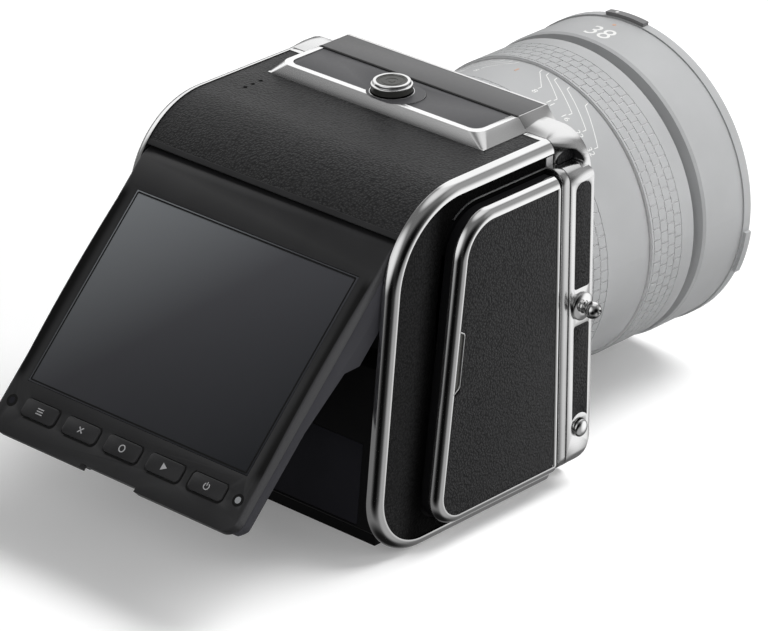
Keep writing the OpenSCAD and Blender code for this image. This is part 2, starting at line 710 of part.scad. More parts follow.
// Lip along the side of the bezel, highest at its middle, with a hollow slope towards the glass
module side_lip() {
    run = glass_h + lip_over;
    points = [for (i = [0:lip_n]) let (part = sin(180 * i / lip_n), h = lip_proud * part - eps,
            slope = (lip_w - lip_edge) * (0.4 + 0.6 * part), y = lip_over - glass_drop - run * i / lip_n)
        each [[screen_w / 2 - lip_edge - slope, y, face_n - eps],
            [screen_w / 2 - lip_edge - slope / 2, y, face_n + 0.3 * h - eps],
            [screen_w / 2 - lip_edge, y, face_n + h],
            [screen_w / 2, y, face_n + h - lip_edge / 2],
            [screen_w / 2, y, face_n - bezel_t / 2],
            [screen_w / 2 - lip_edge - slope, y, face_n - bezel_t / 2]]];
    loft(points, 6);
}
module screen_bezel() color(screen_black) in_screen() difference() {
    union() {
        translate([0, 0, face_n - bezel_t]) linear_extrude(bezel_t) polygon(screen_outline());
        both_sides() side_lip();
        intersection() {
            along_x() cylinder(r = face_n, h = screen_w, center = true);
            block(-far, far, -eps, far, 0, far);
        }
    }
    along_x() cylinder(r = barrel_bore, h = far, center = true);
    translate([0, glass_y, 0]) cube([glass_w + 2 * glass_gap, glass_h + 2 * glass_gap, far], center = true);
    for (i = [0:4]) button_place(i) translate([0, 0, -1]) linear_extrude(far)
        polygon(round_rect(button_w + run_gap, button_h + run_gap, button_corner + run_gap / 2));
    both_sides() translate([lamp_x, button_y, 0]) cylinder(r = lamp_r + seat_gap, h = far);
    lift_notch(lift_notch_d);
}
module shell_profile() side_slab(screen_w / 2, [[1 - screen_l, shell_top_n],
    [1 - screen_l, shell_low_n + 1],
    [3 - screen_l, shell_low_n], [flat_y, shell_low_n], [swell_y, shell_low_n - swell], [hump_y, hump_n],
    [crest_y, hump_n], [neck_y, hump_n + crest_drop], [neck_y, shell_top_n]]);
module screen_rear_shell() color(shell_black) in_screen() difference() {
    union() {
        intersection() {
            shell_profile();
            translate([0, 0, -far / 2]) linear_extrude(far) polygon(screen_outline());
        }
        along_x() cylinder(r = barrel_bore - insert_gap, h = screen_w, center = true);
    }
    both_sides() translate([screen_w / 2 - pin_l + 1, 0, 0]) along_x()
        cylinder(r = hinge_pin_r + fit_gap, h = pin_l);
    block(-board_w / 2 - insert_gap, board_w / 2 + insert_gap, button_y - board_h / 2 - insert_gap,
        button_y + board_h / 2 + insert_gap, shell_top_n - board_t, far);
    lift_notch(2 * lift_notch_d);
}
module screen_glass() color(glass_blue) in_screen()
    translate([0, glass_y, face_n - glass_t / 2]) cube([glass_w, glass_h, glass_t], center = true);
module display_panel() color(screen_black) in_screen() block(-glass_w / 2, glass_w / 2,
    glass_y - glass_h / 2, glass_y + glass_h / 2, shell_top_n, shell_top_n + bezel_t - glass_t);
module button_board() color(board_green) in_screen() block(-board_w / 2, board_w / 2,
    button_y - board_h / 2, button_y + board_h / 2, shell_top_n - board_t, shell_top_n - seat_gap);
module lamp(s) in_screen() translate([s * lamp_x, button_y, shell_top_n - seat_gap])
    cylinder(r = lamp_r, h = bezel_t);
module status_light() color(lamp_grey) lamp(1);
module light_sensor() color(shell_black) lamp(-1);
module screen_button(i) color(screen_black) in_screen() button_place(i)
    translate([0, 0, face_n - button_deep]) linear_extrude(button_deep + button_proud)
    polygon(round_rect(button_w, button_h, button_corner));
module menu_button() screen_button(0);
module cancel_button() screen_button(1);
module select_button() screen_button(2);
module play_button() screen_button(3);
module power_button() screen_button(4);

// Front body
module shoulder_slice(y, half_w, top, r) front_plane(y) linear_extrude(eps) intersection() {
    polygon(corner_outline(half_w, top, base_gap, r, foot_corner));
    translate([-far, shoulder_z - arch_r]) square([2 * far, far]);
}
// Recess under the shoulder, above the upper end of a rail
module arch(x0, x1, gap) side_plate(x0, x1, concat(
    [[arch_back + gap, arch_low + gap], [arch_front - gap, arch_low + gap]],
    arc([arch_front - arch_r, shoulder_z - arch_r], arch_r - gap, 0, 90),
    arc([arch_back + arch_r, shoulder_z - arch_r], arch_r - gap, 90, 180)));
function pocket_outline(low, top, low_r, top_r, gap) = let (x = pocket_w / 2 - gap) concat(
    arc([x - low_r, low + low_r + gap], low_r, 270, 360), arc([x - top_r, top - top_r - gap], top_r, 0, 90),
    arc([top_r - x, top - top_r - gap], top_r, 90, 180),
    arc([low_r - x, low + low_r + gap], low_r, 180, 270));
module rail_pockets(gap, lift) {
    top = rail_top - rail_r - pocket_drop;
    translate([0, rail_y, 0]) side_plate(door_x - pocket_deep, door_x + lift,
        pocket_outline(lug_z + lug_room, top, pocket_corner, pocket_r, gap));
    difference() {
        translate([0, rail_y, 0]) side_plate(door_x - pocket_deep, door_x + lift,
            pocket_outline(cap_z, lug_z - lug_room, pocket_corner, pocket_corner, gap));
        translate([0, rail_y, cap_z]) along_x() cylinder(r = cap_room + gap, h = far);
    }
}
module rail_bores() for (p = [[lug_z, lug_r + seat_gap], [cap_z, cap_r]])
    translate([cheek_x - 1, rail_y, p[0]]) along_x() cylinder(r = p[1], h = far);
module front_body_frame() color(bright) at_dock() difference() {
    union() {
        front_plate(body_gap, body_d, corner_outline(back_w / 2, back_h, base_gap, trim_r, foot_corner));
        front_plate(flange_y, body_d,
            corner_outline(flange_w / 2, flange_top, door_low, flange_r, flange_foot));
        hull() {
            shoulder_slice(body_gap, back_w / 2, back_h, trim_r);
            shoulder_slice(flange_y, flange_w / 2, flange_top, flange_r);
        }
        both_sides() intersection() {
            front_plate(run_gap, body_d, rail_outline(cheek_x, door_x, rail_top, door_low));
            side_plate(0, far, rail_profile());
        }
        hull() {
            block(-crown_x, crown_x, body_gap, crown_d, back_h - crown_lap, back_h - crown_lap + eps);
            block(plate_slope_x - crown_x, crown_x - plate_slope_x, body_gap, crown_d - 1,
                plate_h - eps, plate_h);
        }
    }
    front_plate(-1, far, corner_outline(cheek_x, back_h - trim_r, core_low, trim_r, core_r));
    block(plate_slope_x + store_gap - crown_x, crown_x - plate_slope_x - store_gap, 0, crown_d - crown_wall,
        plate_h - crown_deep, far);
    block(-base_x - store_gap, base_x + store_gap, 0, far, -1, core_low);
    both_sides() arch(arch_x, far, 0);
    both_sides() rail_pockets(0, 1);
    both_sides() rail_bores();
}
module front_body_core() color(black_cast) at_dock() difference() {
    front_plate(body_gap, body_d, corner_outline(cheek_x - seat_gap, back_h - trim_r - seat_gap,
        core_low + seat_gap, trim_r, core_r));
    on_axis() cylinder(r = throat_r + throat_wall, h = far);
    translate([0, body_d - mount_deep, 0]) on_axis() cylinder(r = mount_r + seat_gap, h = far);
    at_release() cylinder(r = release_r + run_gap, h = far, center = true);
    at_shutter() cylinder(r = stem_shutter + run_gap, h = far, center = true);
}
module top_strip() color(slate) at_dock() block(plate_slope_x + run_gap - crown_x,
    crown_x - plate_slope_x - run_gap, body_gap, crown_d - crown_wall - pocket_gap,
    plate_h - crown_deep, plate_h);
module body_covering() color(leather) at_dock() {
    rail_pockets(pocket_gap, 0);
    arch(arch_x, arch_x + 1, pocket_gap);
}
module right_body_covering() body_covering();
module left_body_covering() mirrored(true) body_covering();
module strap_lugs() color(bright) at_dock() both_sides()
    translate([door_x - stud_l, rail_y, lug_z]) along_x() rotate_extrude() polygon(concat(
        [[0, 0], [lug_r, 0], [lug_r, stud_l + seat_gap],
        [lug_collar, stud_l + seat_gap], [lug_collar, stud_l + 0.7], [lug_r - 0.1, stud_l + 1.4],
        [lug_r - 0.2, stud_l + 1.9]], [for (a = [-50:10:90]) spot([0, stud_l + 3.4], lug_ball, a)]));
module rail_caps() color(bright) at_dock() both_sides()
    translate([door_x - stud_l, rail_y, cap_z]) along_x() rotate_extrude() polygon(concat(
        [[0, 0], [cap_r - seat_gap, 0]],
        [for (a = [0:15:90]) [(cap_r - seat_gap) * cos(a), stud_l - 0.1 + sin(a)]]));
module front_covering() color(leather) at_dock() difference() {
    front_plate(body_d + seat_gap, body_d + seat_gap + skin_t,
        corner_outline(cheek_x - 1, back_h - trim_r - 3, core_low + 1.5, skin_r, skin_r));
    on_axis() cylinder(r = mount_r + store_gap, h = far);
    at_release() cylinder(r = release_r + run_gap, h = far, center = true);
    at_shutter() cylinder(r = dial_r + run_gap, h = far, center = true);
}
module lens_mount_ring() color(bright) in_lens()
    tube(mount_r, throat_r, body_d - mount_deep, body_d - mount_deep + mount_t);
module base_plate() color(black_cast) at_dock() difference() {
    union() {
        block(-base_x, base_x, body_gap, body_d, 0, base_top);
        block(-base_x, base_x, body_gap, crown_d - 0.6, 0, toe_h);
    }
    translate([0, socket_front, -1]) cylinder(r = socket_r, h = socket_depth + 1);
}
module at_shutter() translate([shutter_x, body_d, shutter_z]) along_y() children();
module at_release() translate([release_x, body_d, release_z]) along_y() children();
module shutter_button() color(bright) at_dock() at_shutter() rotate_extrude() polygon([[0, -2.6],
    [stem_shutter, -2.6], [stem_shutter, run_gap + 0.5], [shutter_cap, run_gap + 0.5], [shutter_cap, 3.2],
    [shutter_cap - 0.4, 3.6], [0, 3.4]]);
module control_dial() color(shell_black) at_dock() at_shutter() difference() {
    translate([0, 0, run_gap]) linear_extrude(dial_t) polygon(rib_outline(dial_r, dial_knurl, dial_n, 0));
    cylinder(r = shutter_cap + run_gap, h = far, center = true);
}
module lens_release_button() color(bright) at_dock() at_release()
    translate([0, 0, -4]) cylinder(r = release_r, h = 6.2);

// Lens
module knurled_ring(bore, z0, z1, first) {
    row_h = knurl_w / knurl_rows;
    difference() {
        union() {
            translate([0, 0, z0]) cylinder(r = ring_r - knurl_depth, h = z1 - z0);
            tube(ring_r, bore, z0, first - knurl_gap);
            tube(ring_r, bore, first + knurl_w, z1);
            for (k = [0:knurl_rows - 1]) translate([0, 0, first + k * row_h])
                linear_extrude(row_h - knurl_gap)
                polygon(rib_outline(ring_r, knurl_depth + eps, knurl_n, k % 2 / 2));
        }
        translate([0, 0, z0 - 1]) cylinder(r = bore, h = z1 - z0 + 2);
    }
}
module lens_barrel() color(lens_grey) in_lens() rotate_extrude() polygon([[rear_bore, bayonet_end],
    [bayonet_r, bayonet_end], [bayonet_r, lens_seat - seat_rise], [ring_r - 1.2, lens_seat - seat_rise],
    [ring_r - 0.5, foot_end], [tube_r, foot_end], [tube_r, groove_end], [bore_r, groove_end],
    [bore_r, lens_seat + 4], [rear_bore, lens_seat + 4]]);
module control_ring() color(lens_grey) in_lens()
    knurled_ring(ring_bore, foot_end + run_gap, control_end, control_end - knurl_lead - knurl_w);
module scale_sleeve() color(lens_grey) in_lens()
    tube(scale_r, tube_r + eps, control_end + run_gap, scale_end);
module focus_sleeve() color(groove_grey) in_lens()
    tube(ring_bore + sleeve_t, ring_bore, scale_end + run_gap, focus_end);
module focus_ring() color(lens_grey) in_lens()
    knurled_ring(ring_bore + sleeve_t + fit_gap, scale_end + run_gap, focus_end,
        scale_end + run_gap + knurl_lead);
module front_barrel() color(lens_grey) in_lens() rotate_extrude() polygon([[bore_r - 2, groove_end],
    [barrel_r - 0.4, groove_end], [barrel_r, groove_end + 0.8], [barrel_r, front_end],
    [filter_r - 1, front_end],
    [glass_wall, glass_seat + 4], [glass_wall, glass_seat], [bore_r - 2, glass_seat]]);
module front_rim() color(lens_grey) in_lens() {
    tube(rim_r, filter_r, front_end, rim_end);
    for (a = [-90, 16, 90, 164]) rotate([0, 0, a - tab_turn / 2]) rotate_extrude(angle = tab_turn)
        translate([rim_r - 0.3, rim_end - tab_w - 0.2]) square([tab_rise + 0.3, tab_w]);
}
module front_element() color(glass_blue) in_lens() rotate_extrude() polygon(concat(
    [[0, glass_seat], [glass_r, glass_seat], [glass_r, glass_seat + 3]],
    [for (a = [11.25:11.25:90]) [(glass_r - 0.5) * cos(a), glass_seat + 3 + dome * sin(a)]]));
module rear_element() color(glass_blue) in_lens()
    translate([0, 0, bayonet_end + 1]) cylinder(r = rear_bore - seat_gap, h = rear_t);
module shutter_unit() color(shell_black) in_lens()
    tube(bore_r - seat_gap, iris_r, iris_from, iris_from + iris_t);

back_housing();
top_covering();
right_side_covering();
left_side_covering();
right_side_trim();
left_side_trim();
dock_strips();
top_plate_frame();
top_plate_insert();
bay_panel();
hinge_pins();
image_sensor();
sensor_filter();
main_board();
battery();
card_slot();
usb_port();
right_door_shell();
right_door_trim();
right_door_covering();
left_door_shell();
left_door_trim();
left_door_covering();
release_knob();
release_knob_cap();
screen_bezel();
screen_rear_shell();
screen_glass();
display_panel();
button_board();
status_light();
light_sensor();
menu_button();
cancel_button();
select_button();
play_button();
power_button();
front_body_frame();
front_body_core();
top_strip();
right_body_covering();
left_body_covering();
strap_lugs();
rail_caps();
front_covering();
lens_mount_ring();
base_plate();
shutter_button();
control_dial();
lens_release_button();
lens_barrel();
control_ring();
scale_sleeve();
focus_sleeve();
focus_ring();
front_barrel();
front_rim();
front_element();
rear_element();
shutter_unit();
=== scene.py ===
import json
import math

import bpy
from mathutils import Matrix, Vector

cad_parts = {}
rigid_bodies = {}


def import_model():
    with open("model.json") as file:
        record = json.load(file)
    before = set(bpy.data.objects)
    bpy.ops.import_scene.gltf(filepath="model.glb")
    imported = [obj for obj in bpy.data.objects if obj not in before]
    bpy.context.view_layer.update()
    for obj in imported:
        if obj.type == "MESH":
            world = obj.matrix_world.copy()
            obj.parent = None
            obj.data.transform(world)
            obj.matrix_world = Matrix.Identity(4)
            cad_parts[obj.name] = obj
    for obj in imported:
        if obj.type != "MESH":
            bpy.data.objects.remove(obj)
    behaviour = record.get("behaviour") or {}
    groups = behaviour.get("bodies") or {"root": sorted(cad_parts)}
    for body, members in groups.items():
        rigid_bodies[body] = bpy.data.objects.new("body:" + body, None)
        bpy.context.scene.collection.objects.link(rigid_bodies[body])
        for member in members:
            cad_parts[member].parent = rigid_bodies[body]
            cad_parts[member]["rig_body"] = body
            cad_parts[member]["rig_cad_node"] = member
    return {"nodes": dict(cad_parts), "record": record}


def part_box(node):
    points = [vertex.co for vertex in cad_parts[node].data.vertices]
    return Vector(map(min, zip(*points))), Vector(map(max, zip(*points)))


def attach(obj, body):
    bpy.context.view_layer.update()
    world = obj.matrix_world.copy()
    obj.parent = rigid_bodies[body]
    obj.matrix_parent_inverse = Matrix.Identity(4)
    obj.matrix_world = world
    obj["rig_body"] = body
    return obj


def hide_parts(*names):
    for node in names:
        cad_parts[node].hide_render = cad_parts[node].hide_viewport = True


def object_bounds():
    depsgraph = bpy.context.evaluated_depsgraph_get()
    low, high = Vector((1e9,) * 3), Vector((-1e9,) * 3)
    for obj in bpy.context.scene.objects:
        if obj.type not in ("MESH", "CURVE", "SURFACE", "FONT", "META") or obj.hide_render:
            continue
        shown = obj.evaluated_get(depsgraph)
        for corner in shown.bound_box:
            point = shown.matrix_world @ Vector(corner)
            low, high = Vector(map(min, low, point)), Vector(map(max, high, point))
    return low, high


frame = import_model()
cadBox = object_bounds()
nodes = frame["nodes"]
bodies = frame["record"]["behaviour"]["bodies"]
bodyOfNode = {node: body for body, members in bodies.items() for node in members}
mm = 0.001
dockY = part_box("dock_strips")[1].y  # the plane where the digital back meets the front body
print("frame loaded:", len(nodes), "nodes")


# main sizes in millimetres, from the dock plane and the base
back = {"depth": 60.5, "top": 86.6, "low": 0.4, "lean": 6, "topRadius": 23, "lowRadius": 15.5,
        "cheek": 39.2, "trimRadius": 2.8}
door = {"depth": 45.9, "top": 80.2, "low": 5.6, "lean": 7.5, "topRadius": 11.3, "lowRadius": 8,
        "beadRadius": 2.4, "face": 47, "front": 3.5,
        "hinge": 46.2, "hingeRadius": 0.8, "hingeSpan": (8, 77.8)}
plate = {"half": 33.7, "depth": 14.5, "top": 89.5, "knobBack": 8.5}
screen = {"hinge": (-47.2026, 71.6009), "face": 5.1, "buttonDrop": 63.692, "pitch": 13.25, "proud": 0.35}
lens = {"axis": 44.2, "scale": 37.2, "ring": 37.9, "barrel": 38.5, "rim": 38.9}


# small helpers for working by operators
def makeActive(obj):
    bpy.ops.object.select_all(action="DESELECT")
    obj.select_set(True)
    bpy.context.view_layer.objects.active = obj


def rename(obj, name):
    obj.name = name
    obj.data.name = name


def editAll(obj, kind="FACE"):
    makeActive(obj)
    bpy.ops.object.mode_set(mode="EDIT")
    bpy.ops.mesh.select_mode(type=kind)
    bpy.ops.mesh.select_all(action="SELECT")


def objectMode():
    bpy.ops.object.mode_set(mode="OBJECT")


def cleanMesh(obj):
    editAll(obj, "VERT")
    bpy.ops.mesh.remove_doubles(threshold=0.002 * mm)
    bpy.ops.mesh.normals_make_consistent(inside=False)
    objectMode()


def shapeWith(obj, kind, **settings):
    makeActive(obj)
    modifier = obj.modifiers.new(kind.lower(), kind)
    for key, value in settings.items():
        setattr(modifier, key, value)
    bpy.ops.object.modifier_apply(modifier=modifier.name)


def softEdges(obj, width, segments=3, angle=32):
    shapeWith(obj, "BEVEL", width=width * mm, segments=segments, limit_method="ANGLE",
              angle_limit=math.radians(angle), use_clamp_overlap=True)


def smooth(obj, angle=35):
    makeActive(obj)
    bpy.ops.object.shade_smooth_by_angle(angle=math.radians(angle))


# a place by its distance across, in front of the dock plane, and up
def at(x, d, z):
    return Vector((x * mm, d * mm + dockY, z * mm))


# a place on the raised screen: across it, up it from the hinge, and out from the hinge axis
def onScreen(u, v, n):
    slope = math.sqrt(0.5)
    return at(u, screen["hinge"][0] + (v - n) * slope, screen["hinge"][1] + (v + n) * slope)


# a place on the lens: degrees from the top towards the right, distance from the dock plane, radius
def onLens(turn, d, radius):
    angle = math.radians(turn)
    return at(radius * math.sin(angle), d, lens["axis"] + radius * math.cos(angle))


def arcPoints(centre, radius, start, end, steps):
    angles = [math.radians(start + (end - start) * i / steps) for i in range(steps + 1)]
    return [(centre[0] + radius * math.cos(a), centre[1] + radius * math.sin(a)) for a in angles]


def ringPoints(centre, radius, count=24):
    return arcPoints(centre, radius, 0, 360 - 360 / count, count - 1)


def rectangle(x0, y0, x1, y1):
    return [(x0, y0), (x1, y0), (x1, y1), (x0, y1)]


def faceOf(name, points):
    bpy.ops.object.select_all(action="DESELECT")
    bpy.ops.mesh.primitive_circle_add(vertices=len(points), radius=mm, fill_type="NGON")
    obj = bpy.context.object
    rename(obj, name)
    for vert, point in zip(obj.data.vertices, points):
        vert.co = point
    return obj


def panel(name, points, depth):
    obj = faceOf(name, points)
    editAll(obj)
    bpy.ops.mesh.extrude_region_move(TRANSFORM_OT_translate={"value": depth})
    objectMode()
    cleanMesh(obj)
    return obj


# runs along a path: a vector is a straight run, (centre, degrees) is a turn about an axis along X
def sweep(name, section, runs, turnSteps=28):
    obj = faceOf(name, section)
    editAll(obj)
    for run in runs:
        if isinstance(run, Vector):
            bpy.ops.mesh.extrude_region_move(TRANSFORM_OT_translate={"value": run})
        else:
            bpy.ops.mesh.spin(steps=turnSteps, angle=-math.radians(run[1]), center=run[0], axis=(1, 0, 0))
    objectMode()
    cleanMesh(obj)
    return obj


# a closed profile of (radius, place along the axis), turned about an axis through the centre
def turned(name, profile, centre, axis, steps):
    axis = Vector(axis)
    outward = Vector((1, 0, 0)) if axis.z else Vector((0, 0, 1))
    obj = faceOf(name, [centre + axis * (along * mm) + outward * (radius * mm) for radius, along in profile])
    editAll(obj)
    bpy.ops.mesh.delete(type="ONLY_FACE")
    bpy.ops.mesh.select_all(action="SELECT")
    bpy.ops.mesh.spin(steps=steps, angle=math.tau, center=centre, axis=axis)
    objectMode()
    cleanMesh(obj)
    return obj


def joined(name, pieces):
    makeActive(pieces[0])
    for piece in pieces:
        piece.select_set(True)
    bpy.ops.object.join()
    obj = bpy.context.object
    rename(obj, name)
    return obj


def cutOut(obj, cutter):
    shapeWith(obj, "BOOLEAN", object=cutter, operation="DIFFERENCE", solver="EXACT")
    makeActive(cutter)
    bpy.ops.object.delete()


def mirrored(obj, name):
    makeActive(obj)
    bpy.ops.object.duplicate()
    twin = bpy.context.object
    rename(twin, name)
    editAll(twin, "VERT")
    bpy.ops.transform.mirror(constraint_axis=(True, False, False), center_override=(0, 0, 0))
    objectMode()
    cleanMesh(twin)
    return twin


# a merged copy of a CAD node, with its edges rounded
def refined(node, width):
    makeActive(nodes[node])
    bpy.ops.object.duplicate()
    obj = bpy.context.object
    rename(obj, node + "_finish")
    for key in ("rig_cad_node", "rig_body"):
        if key in obj:
            del obj[key]
    editAll(obj, "VERT")
    bpy.ops.mesh.remove_doubles(threshold=0.001 * mm)
    bpy.ops.mesh.customdata_custom_splitnormals_clear()
    bpy.ops.mesh.dissolve_limited(angle_limit=math.radians(0.4))
    objectMode()
    softEdges(obj, width, 2)
    smooth(obj)
    return obj


def finish(obj, finishName, replaced=(), body=None):
    obj.data.materials.clear()
    obj.data.materials.append(finishes[finishName])
    obj.parent = None
    if replaced:
        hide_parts(*replaced)
    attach(obj, body or bodyOfNode[replaced[0]])


# a right piece and its mirrored left twin, on the camera or each on its own side's body
def addBoth(right, name, finishName, node, body):
    smooth(right, 40)
    left = mirrored(right, "left_" + name)
    right.name = "right_" + name
    smooth(left, 40)
    for side, piece in (("right_", right), ("left_", left)):
        finish(piece, finishName, [side + node] if node else (), body if body == "camera" else side + body)


# shader maths on sockets
class Sock:
    def __init__(self, shade, socket):
        self.shade = shade
        self.socket = socket

    def math(self, operation, first, second):
        return self.shade.node("Math", {"operation": operation}, {0: first, 1: second})

    def __add__(self, other):
        return self.math("ADD", self, other)

    def __radd__(self, other):
        return self.math("ADD", other, self)

    def __sub__(self, other):
        return self.math("SUBTRACT", self, other)

    def __rsub__(self, other):
        return self.math("SUBTRACT", other, self)

    def __mul__(self, other):
        return self.math("MULTIPLY", self, other)

    def __rmul__(self, other):
        return self.math("MULTIPLY", other, self)

    def __lt__(self, other):
        return self.math("LESS_THAN", self, other)

    def __gt__(self, other):
        return self.math("GREATER_THAN", self, other)

    def __abs__(self):
        return self.math("ABSOLUTE", self, 0.0)


# the nodes of one material, or of the world
class Shade:
    def __init__(self, owner, shader="Principled BSDF"):
        owner.use_nodes = True
        self.owner = owner
        self.tree = owner.node_tree
        self.shader = self.tree.nodes[shader]

    def node(self, kind, settings=None, sockets=None, out=0):
        made = self.tree.nodes.new("ShaderNode" + kind)
        for key, value in (settings or {}).items():
            if key == "stops":
                self.setStops(made.color_ramp, value)
            else:
                setattr(made, key, value)
        for key, value in (sockets or {}).items():
            self.plug(made.inputs[key], value)
        return Sock(self, made.outputs[out])

    def setStops(self, ramp, stops):
        while len(ramp.elements) < len(stops):
            ramp.elements.new(0.5)
        for element, (place, colour) in zip(ramp.elements, stops):
            element.position = place
            element.color = (*colour, 1)

    def plug(self, socket, value):
        if isinstance(value, Sock):
            self.tree.links.new(value.socket, socket)
        else:
            socket.default_value = value

    def place(self):
        return self.node("TexCoord", out="Object")

    def along(self, axis):
        return self.node("SeparateXYZ", {}, {"Vector": self.place()}, axis)

    def dot(self, first, second):
        return self.node("VectorMath", {"operation": "DOT_PRODUCT"}, {0: first, 1: second}, "Value")

    # distance from a centre in the plane that the mask keeps
    def awayFrom(self, centre, mask):
        flat = self.node("VectorMath", {"operation": "MULTIPLY"}, {0: self.place(), 1: Vector(mask)})
        return self.node("VectorMath", {"operation": "DISTANCE"}, {0: flat, 1: centre}, "Value")

    def noise(self, scale, detail=3, out="Fac"):
        return self.node("TexNoise", {}, {"Vector": self.place(), "Scale": scale, "Detail": detail}, out)

    def ramp(self, value, stops):
        return self.node("ValToRGB", {"stops": stops}, {"Fac": value}, "Color")

    # a tone that drifts between two colours over the surface
    def drift(self, scale, low, high, detail=3):
        return self.ramp(self.noise(scale, detail), [(0.3, low), (0.7, high)])

    # a number that varies by a spread about its middle
    def grain(self, middle, spread, scale, detail):
        return middle - spread / 2 + self.noise(scale, detail) * spread

    def rise(self, value, low, high, start=0.0, end=1.0, kind="SMOOTHSTEP"):
        return self.node("MapRange", {"interpolation_type": kind},
                         {"Value": value, "From Min": low, "From Max": high, "To Min": start, "To Max": end})

    def mix(self, share, first, second, kind="MIX"):
        return self.node("MixRGB", {"blend_type": kind},
                         {"Fac": share, "Color1": first, "Color2": second}, "Color")

    def bump(self, height, strength, distance):
        return self.node("Bump", {}, {"Height": height, "Strength": strength, "Distance": distance}, "Normal")

    def done(self, **sockets):
        for key, value in sockets.items():
            self.plug(self.shader.inputs[key.replace("_", " ")], value)
        return self.owner


def surface(name):
    return Shade(bpy.data.materials.new(name))


def grey(value):
    return (value, value, value)


def toned(colour, share):
    return tuple(c * share for c in colour)


# painted shade: the side covering darkens towards the door's rear edge, where the recess is deepest and shade
# falls
recessShadeFade = {"from": 0.4, "to": 7, "dark": 0.05, "light": 0.6}


def leatherette(name, fade=None):
    shade = surface(name)
    warp = shade.noise(420, 2, "Color")
    spread = shade.node("VectorMath", {"operation": "SCALE"}, {0: warp, "Scale": 0.0008})
    where = shade.node("VectorMath", {"operation": "ADD"}, {0: shade.place(), 1: spread})
    pebble = shade.node("TexVoronoi", {"feature": "SMOOTH_F1"},
                        {"Vector": where, "Scale": 1800, "Smoothness": 0.4}, "Distance")
    height = (1 - pebble) + shade.noise(2600, 4) * 0.3
    tone = shade.ramp(pebble, [(0.1, (0.034, 0.034, 0.035)), (0.75, (0.012, 0.012, 0.0125))])
    rough = shade.grain(0.47, 0.1, 160, 2)
    # painted shade: darker and duller towards the door's rear edge
    if fade:
        lean = math.tan(math.radians(door["lean"]))
        behind = shade.dot(shade.place(), Vector((0, -1, lean))) + (dockY - door["depth"] * mm)
        lit = shade.rise(behind, fade["from"] * mm, fade["to"] * mm, fade["dark"], fade["light"])
        tone = shade.mix(1.0, tone, lit, "MULTIPLY")
        rough = 1 - lit * (1 - rough)
    return shade.done(Base_Color=tone, Roughness=rough, Specular_IOR_Level=0.2,
                      Normal=shade.bump(height, 0.7, 0.26 * mm))


# painted shade in the half-round recess above each rail of the front frame
railRecessShade = {"centre": (3.35, 81.35), "radius": 2.93, "inner": 41.3, "low": 81.05}


# polished or satin metal, with painted shade inside a recess where one is given: black, rough and not metal
# there
def brightTrim(name, colour, roughness, recess=None):
    shade = surface(name)
    tone = shade.drift(90, grey(colour - 0.02), grey(colour + 0.02))
    rough = shade.grain(roughness, 0.03, 900, 4)
    metal = 1.0
    # painted shade inside the recess
    if recess:
        dark = shade.awayFrom(at(0, *recess["centre"]), (0, 1, 1)) < recess["radius"] * mm
        dark = dark * (abs(shade.along("X")) > recess["inner"] * mm) * (shade.along("Z") > recess["low"] * mm)
        tone = shade.mix(dark, tone, (0.006, 0.006, 0.0065, 1))
        rough = rough + dark * 0.5
        metal = 1 - dark
    return shade.done(Base_Color=tone, Metallic=metal, Roughness=rough,
                      Normal=shade.bump(shade.noise(2400, 2), 0.015, 0.02 * mm))


def mattePlastic(name, colour, roughness, gloss=0.12):
    shade = surface(name)
    tone = shade.drift(70, toned(colour, 0.88), toned(colour, 1.12))
    rough = shade.grain(roughness, 0.06, 1500, 3)
    return shade.done(Base_Color=tone, Roughness=rough, Specular_IOR_Level=gloss,
                      Normal=shade.bump(shade.noise(5200, 3), 0.1, 0.03 * mm))


# the screen frame's raised side lips: painted shade, a dark valley inside each, bounded across and down from
# the hinge, and a painted highlight, a paler crest
sideLipShadeAndHighlight = {"inside": (35.3, 37.6), "outside": (39.0, 38.3), "lower": (60, 56), "upper": (6, 10),
           "crest": (38.4, 38.8), "valleyShadeTone": 0.002, "crestHighlightTone": (0.05, 0.05, 0.053), "crestHighlightShare": 0.7}


def bezelPlastic(name, colour, roughness, gloss):
    shade = surface(name)
    across = abs(shade.along("X"))
    upward = onScreen(0, 1 / mm, 0) - onScreen(0, 0, 0)
    up = shade.dot(shade.place(), upward)
    hinge = upward.dot(onScreen(0, 0, 0))
    deep = 1.0
    for side in ("inside", "outside"):
        low, high = sideLipShadeAndHighlight[side]
        deep = shade.rise(across, low * mm, high * mm) * deep
    for end in ("lower", "upper"):
        low, high = sideLipShadeAndHighlight[end]
        deep = shade.rise(up, hinge - low * mm, hinge - high * mm) * deep
    low, high = sideLipShadeAndHighlight["crest"]
    crest = shade.rise(across, low * mm, high * mm) * sideLipShadeAndHighlight["crestHighlightShare"]
    tone = shade.drift(70, toned(colour, 0.9), toned(colour, 1.1))
    # painted shade in the valley, then a painted highlight on the crest
    tone = shade.mix(deep, tone, (*grey(sideLipShadeAndHighlight["valleyShadeTone"]), 1))
    tone = shade.mix(crest, tone, (*sideLipShadeAndHighlight["crestHighlightTone"], 1))
    rough = shade.grain(roughness, 0.06, 1500, 3) + deep * 0.4
    return shade.done(Base_Color=tone, Roughness=rough, Specular_IOR_Level=gloss,
                      Normal=shade.bump(shade.noise(5200, 3), 0.1, 0.03 * mm))


